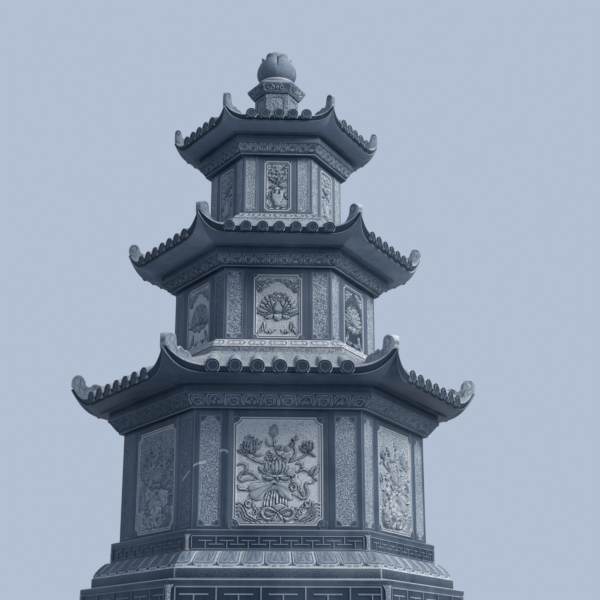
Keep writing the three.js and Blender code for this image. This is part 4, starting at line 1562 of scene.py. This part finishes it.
def build_cap():
    """A flared cap with a carved underside and a round collar under the bud."""
    low, high = box_of("cap")
    bottom, top = low[2], high[2]
    foot, rim, head = CAP["foot"], CAP["rim"], CAP["head"]
    rim_z, rim_top = CAP["rim_z"], CAP["rim_z"] + CAP["rim_height"]
    sunk = 6
    shape = Shape()
    add_course(shape, [
        (foot - 4, bottom), (foot, bottom + 6), (foot + 8, bottom + 10), (foot + 8 - sunk, bottom + 14),
        (rim - 6 - sunk, rim_z - 3), (rim, rim_z), (rim, rim_top - 6), (rim - 10, rim_top),
        (head + 8, top - 22), (head - 16, top - 8), (head - 16, top - 2),
    ], [0.15, 0.2, 0.3, 0.2, 0.5, 0.5, 0.5, 0.42, 0.4, 0.4], cut=3, grain=0.5, arris_tone=0.55)
    ends = (foot + 8, bottom + 14), (rim - 6, rim_z - 3)
    us, rows, tall = band_grid(*ends, 3.53, 3.1)
    carving = Carving(us, rows * tall, grain=0.6)
    edge = np.minimum(np.minimum(us[-1] - np.abs(carving.x), carving.y), tall - carving.y)
    line = fade(edge - 4, 2.5)
    carving.height = 2.5 * line
    carving.tone = 0.36 + 0.3 * line
    for side in (-1, 1):
        carving.curl((side * 38, 0.5 * tall), 0.3 * tall, [9, 8, 6], 3, 1.3, 90, side, 5, 0.45)
        tail = sided(side, (38, 0.2 * tall), (62, 0.35 * tall), (84, 0.7 * tall))
        carving.stroke(tail, [7, 8, 3], 5, 0.45, rim=4)
    carving.leaf((0, 0.15 * tall), (0, 0.9 * tall), 26, 0, 5, 0.45, rim=4)
    add_band(shape, us, rows, *ends, carving, sunk)
    collar = [(head + out, drop, tone) for out, drop, tone in (
        (-24, -40, 0.4), (2, -36, 0.5), (11, -24, 0.62), (11, -12, 0.72), (4, -3, 0.75),
        (-8, 0, 0.6), (-60, 0, 0.4),
    )]
    add_turned(shape, (0, 0, top), (0, 0, 1), (1, 0, 0), collar, 48, 0.4)
    shape.make("cap", "carved", "carved_stone", 40)


def build_bud():
    """A round core inside six outer petals whose tips curl away at the top."""
    base = box_of("lotus_bud")[0][2]
    shape = Shape()
    core = [
        (100, 1, 0.3), (108, 120, 0.3), (104, 200, 0.3), (97, 232, 0.35), (86, 262, 0.45), (68, 286, 0.5),
        (46, 304, 0.55), (20, BUD_HEIGHT - 5, 0.6), (8, BUD_HEIGHT - 1, 0.6),
    ]
    add_turned(shape, (0, 0, base), (0, 0, 1), (1, 0, 0), core, 36, 0.3)
    angles = np.arange(20 * FACES) * 2 * math.pi / (20 * FACES)
    across = np.abs((angles / TURN + 0.5) % 1 - 0.5) * 2
    rows = np.linspace(0, 1, 33)[:, None]
    top = BUD_SHOULDER - 42 * across ** 2.2
    seam = fade(1 - across, 0.07) * np.clip((rows - 0.35) / 0.2, 0, 1)
    curl = 24 * (1 - across ** 2) * np.clip((rows - 0.82) / 0.18, 0, 1) ** 1.6
    radii = np.interp(rows, np.linspace(0, 1, len(BUD_RADII)), BUD_RADII) + curl - 7 * seam
    edge = np.clip((rows - 0.93) / 0.07, 0, 1)
    # The seams between petals are painted darker: painted shade.
    tone = 0.42 - 0.3 * seam + 0.26 * edge * (1 - seam) + 0.1 * fade(1 - across, 0.2)

    def ring(radius, rise):
        x, y = radius * np.cos(angles), radius * np.sin(angles)
        return np.stack([x, y, np.broadcast_to(base + rise, x.shape)], -1)

    inner = radii[-1] - 7
    loops = [
        *ring(radii, 2 + (top - 2) * rows), ring(inner, top - 3), ring(inner - 8, top - 28),
        ring(inner + 4, top - 70), ring(90, 2),
    ]
    tones = np.concatenate([tone.ravel(), np.full(4 * len(angles), 0.3)])
    add_loops(shape, loops, tones, 0.3, closed=True)
    shape.make("lotus_bud", "carved", "carved_stone", 50)


# Studio

def add_object(name, data):
    made = bpy.data.objects.new(name, data)
    bpy.context.scene.collection.objects.link(made)
    return made


def add_floor():
    mesh = bpy.data.meshes.new("studio_floor")
    corners = [(x * FLOOR_SIZE, y * FLOOR_SIZE, 0) for x, y in ((-1, -1), (1, -1), (1, 1), (-1, 1))]
    mesh.from_pydata(corners, [], [(0, 1, 2, 3)])
    floor = add_object("studio_floor", mesh)
    material = bpy.data.materials.new("studio_floor")
    material.use_nodes = True
    shader = material.node_tree.nodes["Principled BSDF"]
    shader.inputs["Base Color"].default_value = (0.5, 0.53, 0.57, 1)
    shader.inputs["Roughness"].default_value = 0.9
    mesh.materials.append(material)


def add_sky():
    world = bpy.data.worlds.new("studio")
    bpy.context.scene.world = world
    world.use_nodes = True
    background = world.node_tree.nodes["Background"]
    background.inputs["Color"].default_value = (0.64, 0.75, 0.94, 1)
    background.inputs["Strength"].default_value = 0.7


def add_key_light():
    data = bpy.data.lights.new("key_light", "AREA")
    data.shape = "DISK"
    data.size = LIGHT_SIZE
    data.energy = LIGHT_WATTS
    data.color = (1.0, 0.95, 0.88)
    light = add_object("key_light", data)
    light.location = LIGHT_PLACE
    x, y, z = np.array(LIGHT_AIM) - np.array(LIGHT_PLACE)
    light.rotation_euler = (math.pi / 2 + math.atan2(z, math.hypot(x, y)), 0, math.atan2(-x, y))


def add_camera():
    data = bpy.data.cameras.new("camera")
    data.lens = CAMERA_LENS
    data.sensor_width = SENSOR
    data.sensor_fit = "HORIZONTAL"
    camera = add_object("camera", data)
    camera.location = CAMERA_PLACE
    camera.rotation_euler = (math.pi / 2 + CAMERA_RISE, 0, -CAMERA_TURN)
    bpy.context.scene.camera = camera


bpy.context.scene.view_settings.view_transform = "Standard"
add_camera()
add_sky()
add_key_light()
add_floor()
build_plinth()
build_lotus_course("lower_lotus_course", LOWER_BAND_RADIUS, LOWER_FRET_RADIUS)
build_lotus_course("upper_lotus_course", UPPER_BAND_RADIUS, UPPER_FRET_RADIUS)
build_fret_course("lower_fret_course", FRETS[0])
build_fret_course("upper_fret_course", FRETS[1])
for storey_number in (1, 2):
    build_pilasters(storey_number)
build_panels(1, draw_lotus_pond, 6.3)
build_panels(2, draw_open_lotus, 6)
build_wall_3()
for storey_number in (1, 2, 3):
    build_cornice(storey_number)
    build_eaves(storey_number)
    build_tiles(storey_number)
for storey_number in (2, 3):
    build_platform(storey_number)
build_neck()
build_cap()
build_bud()
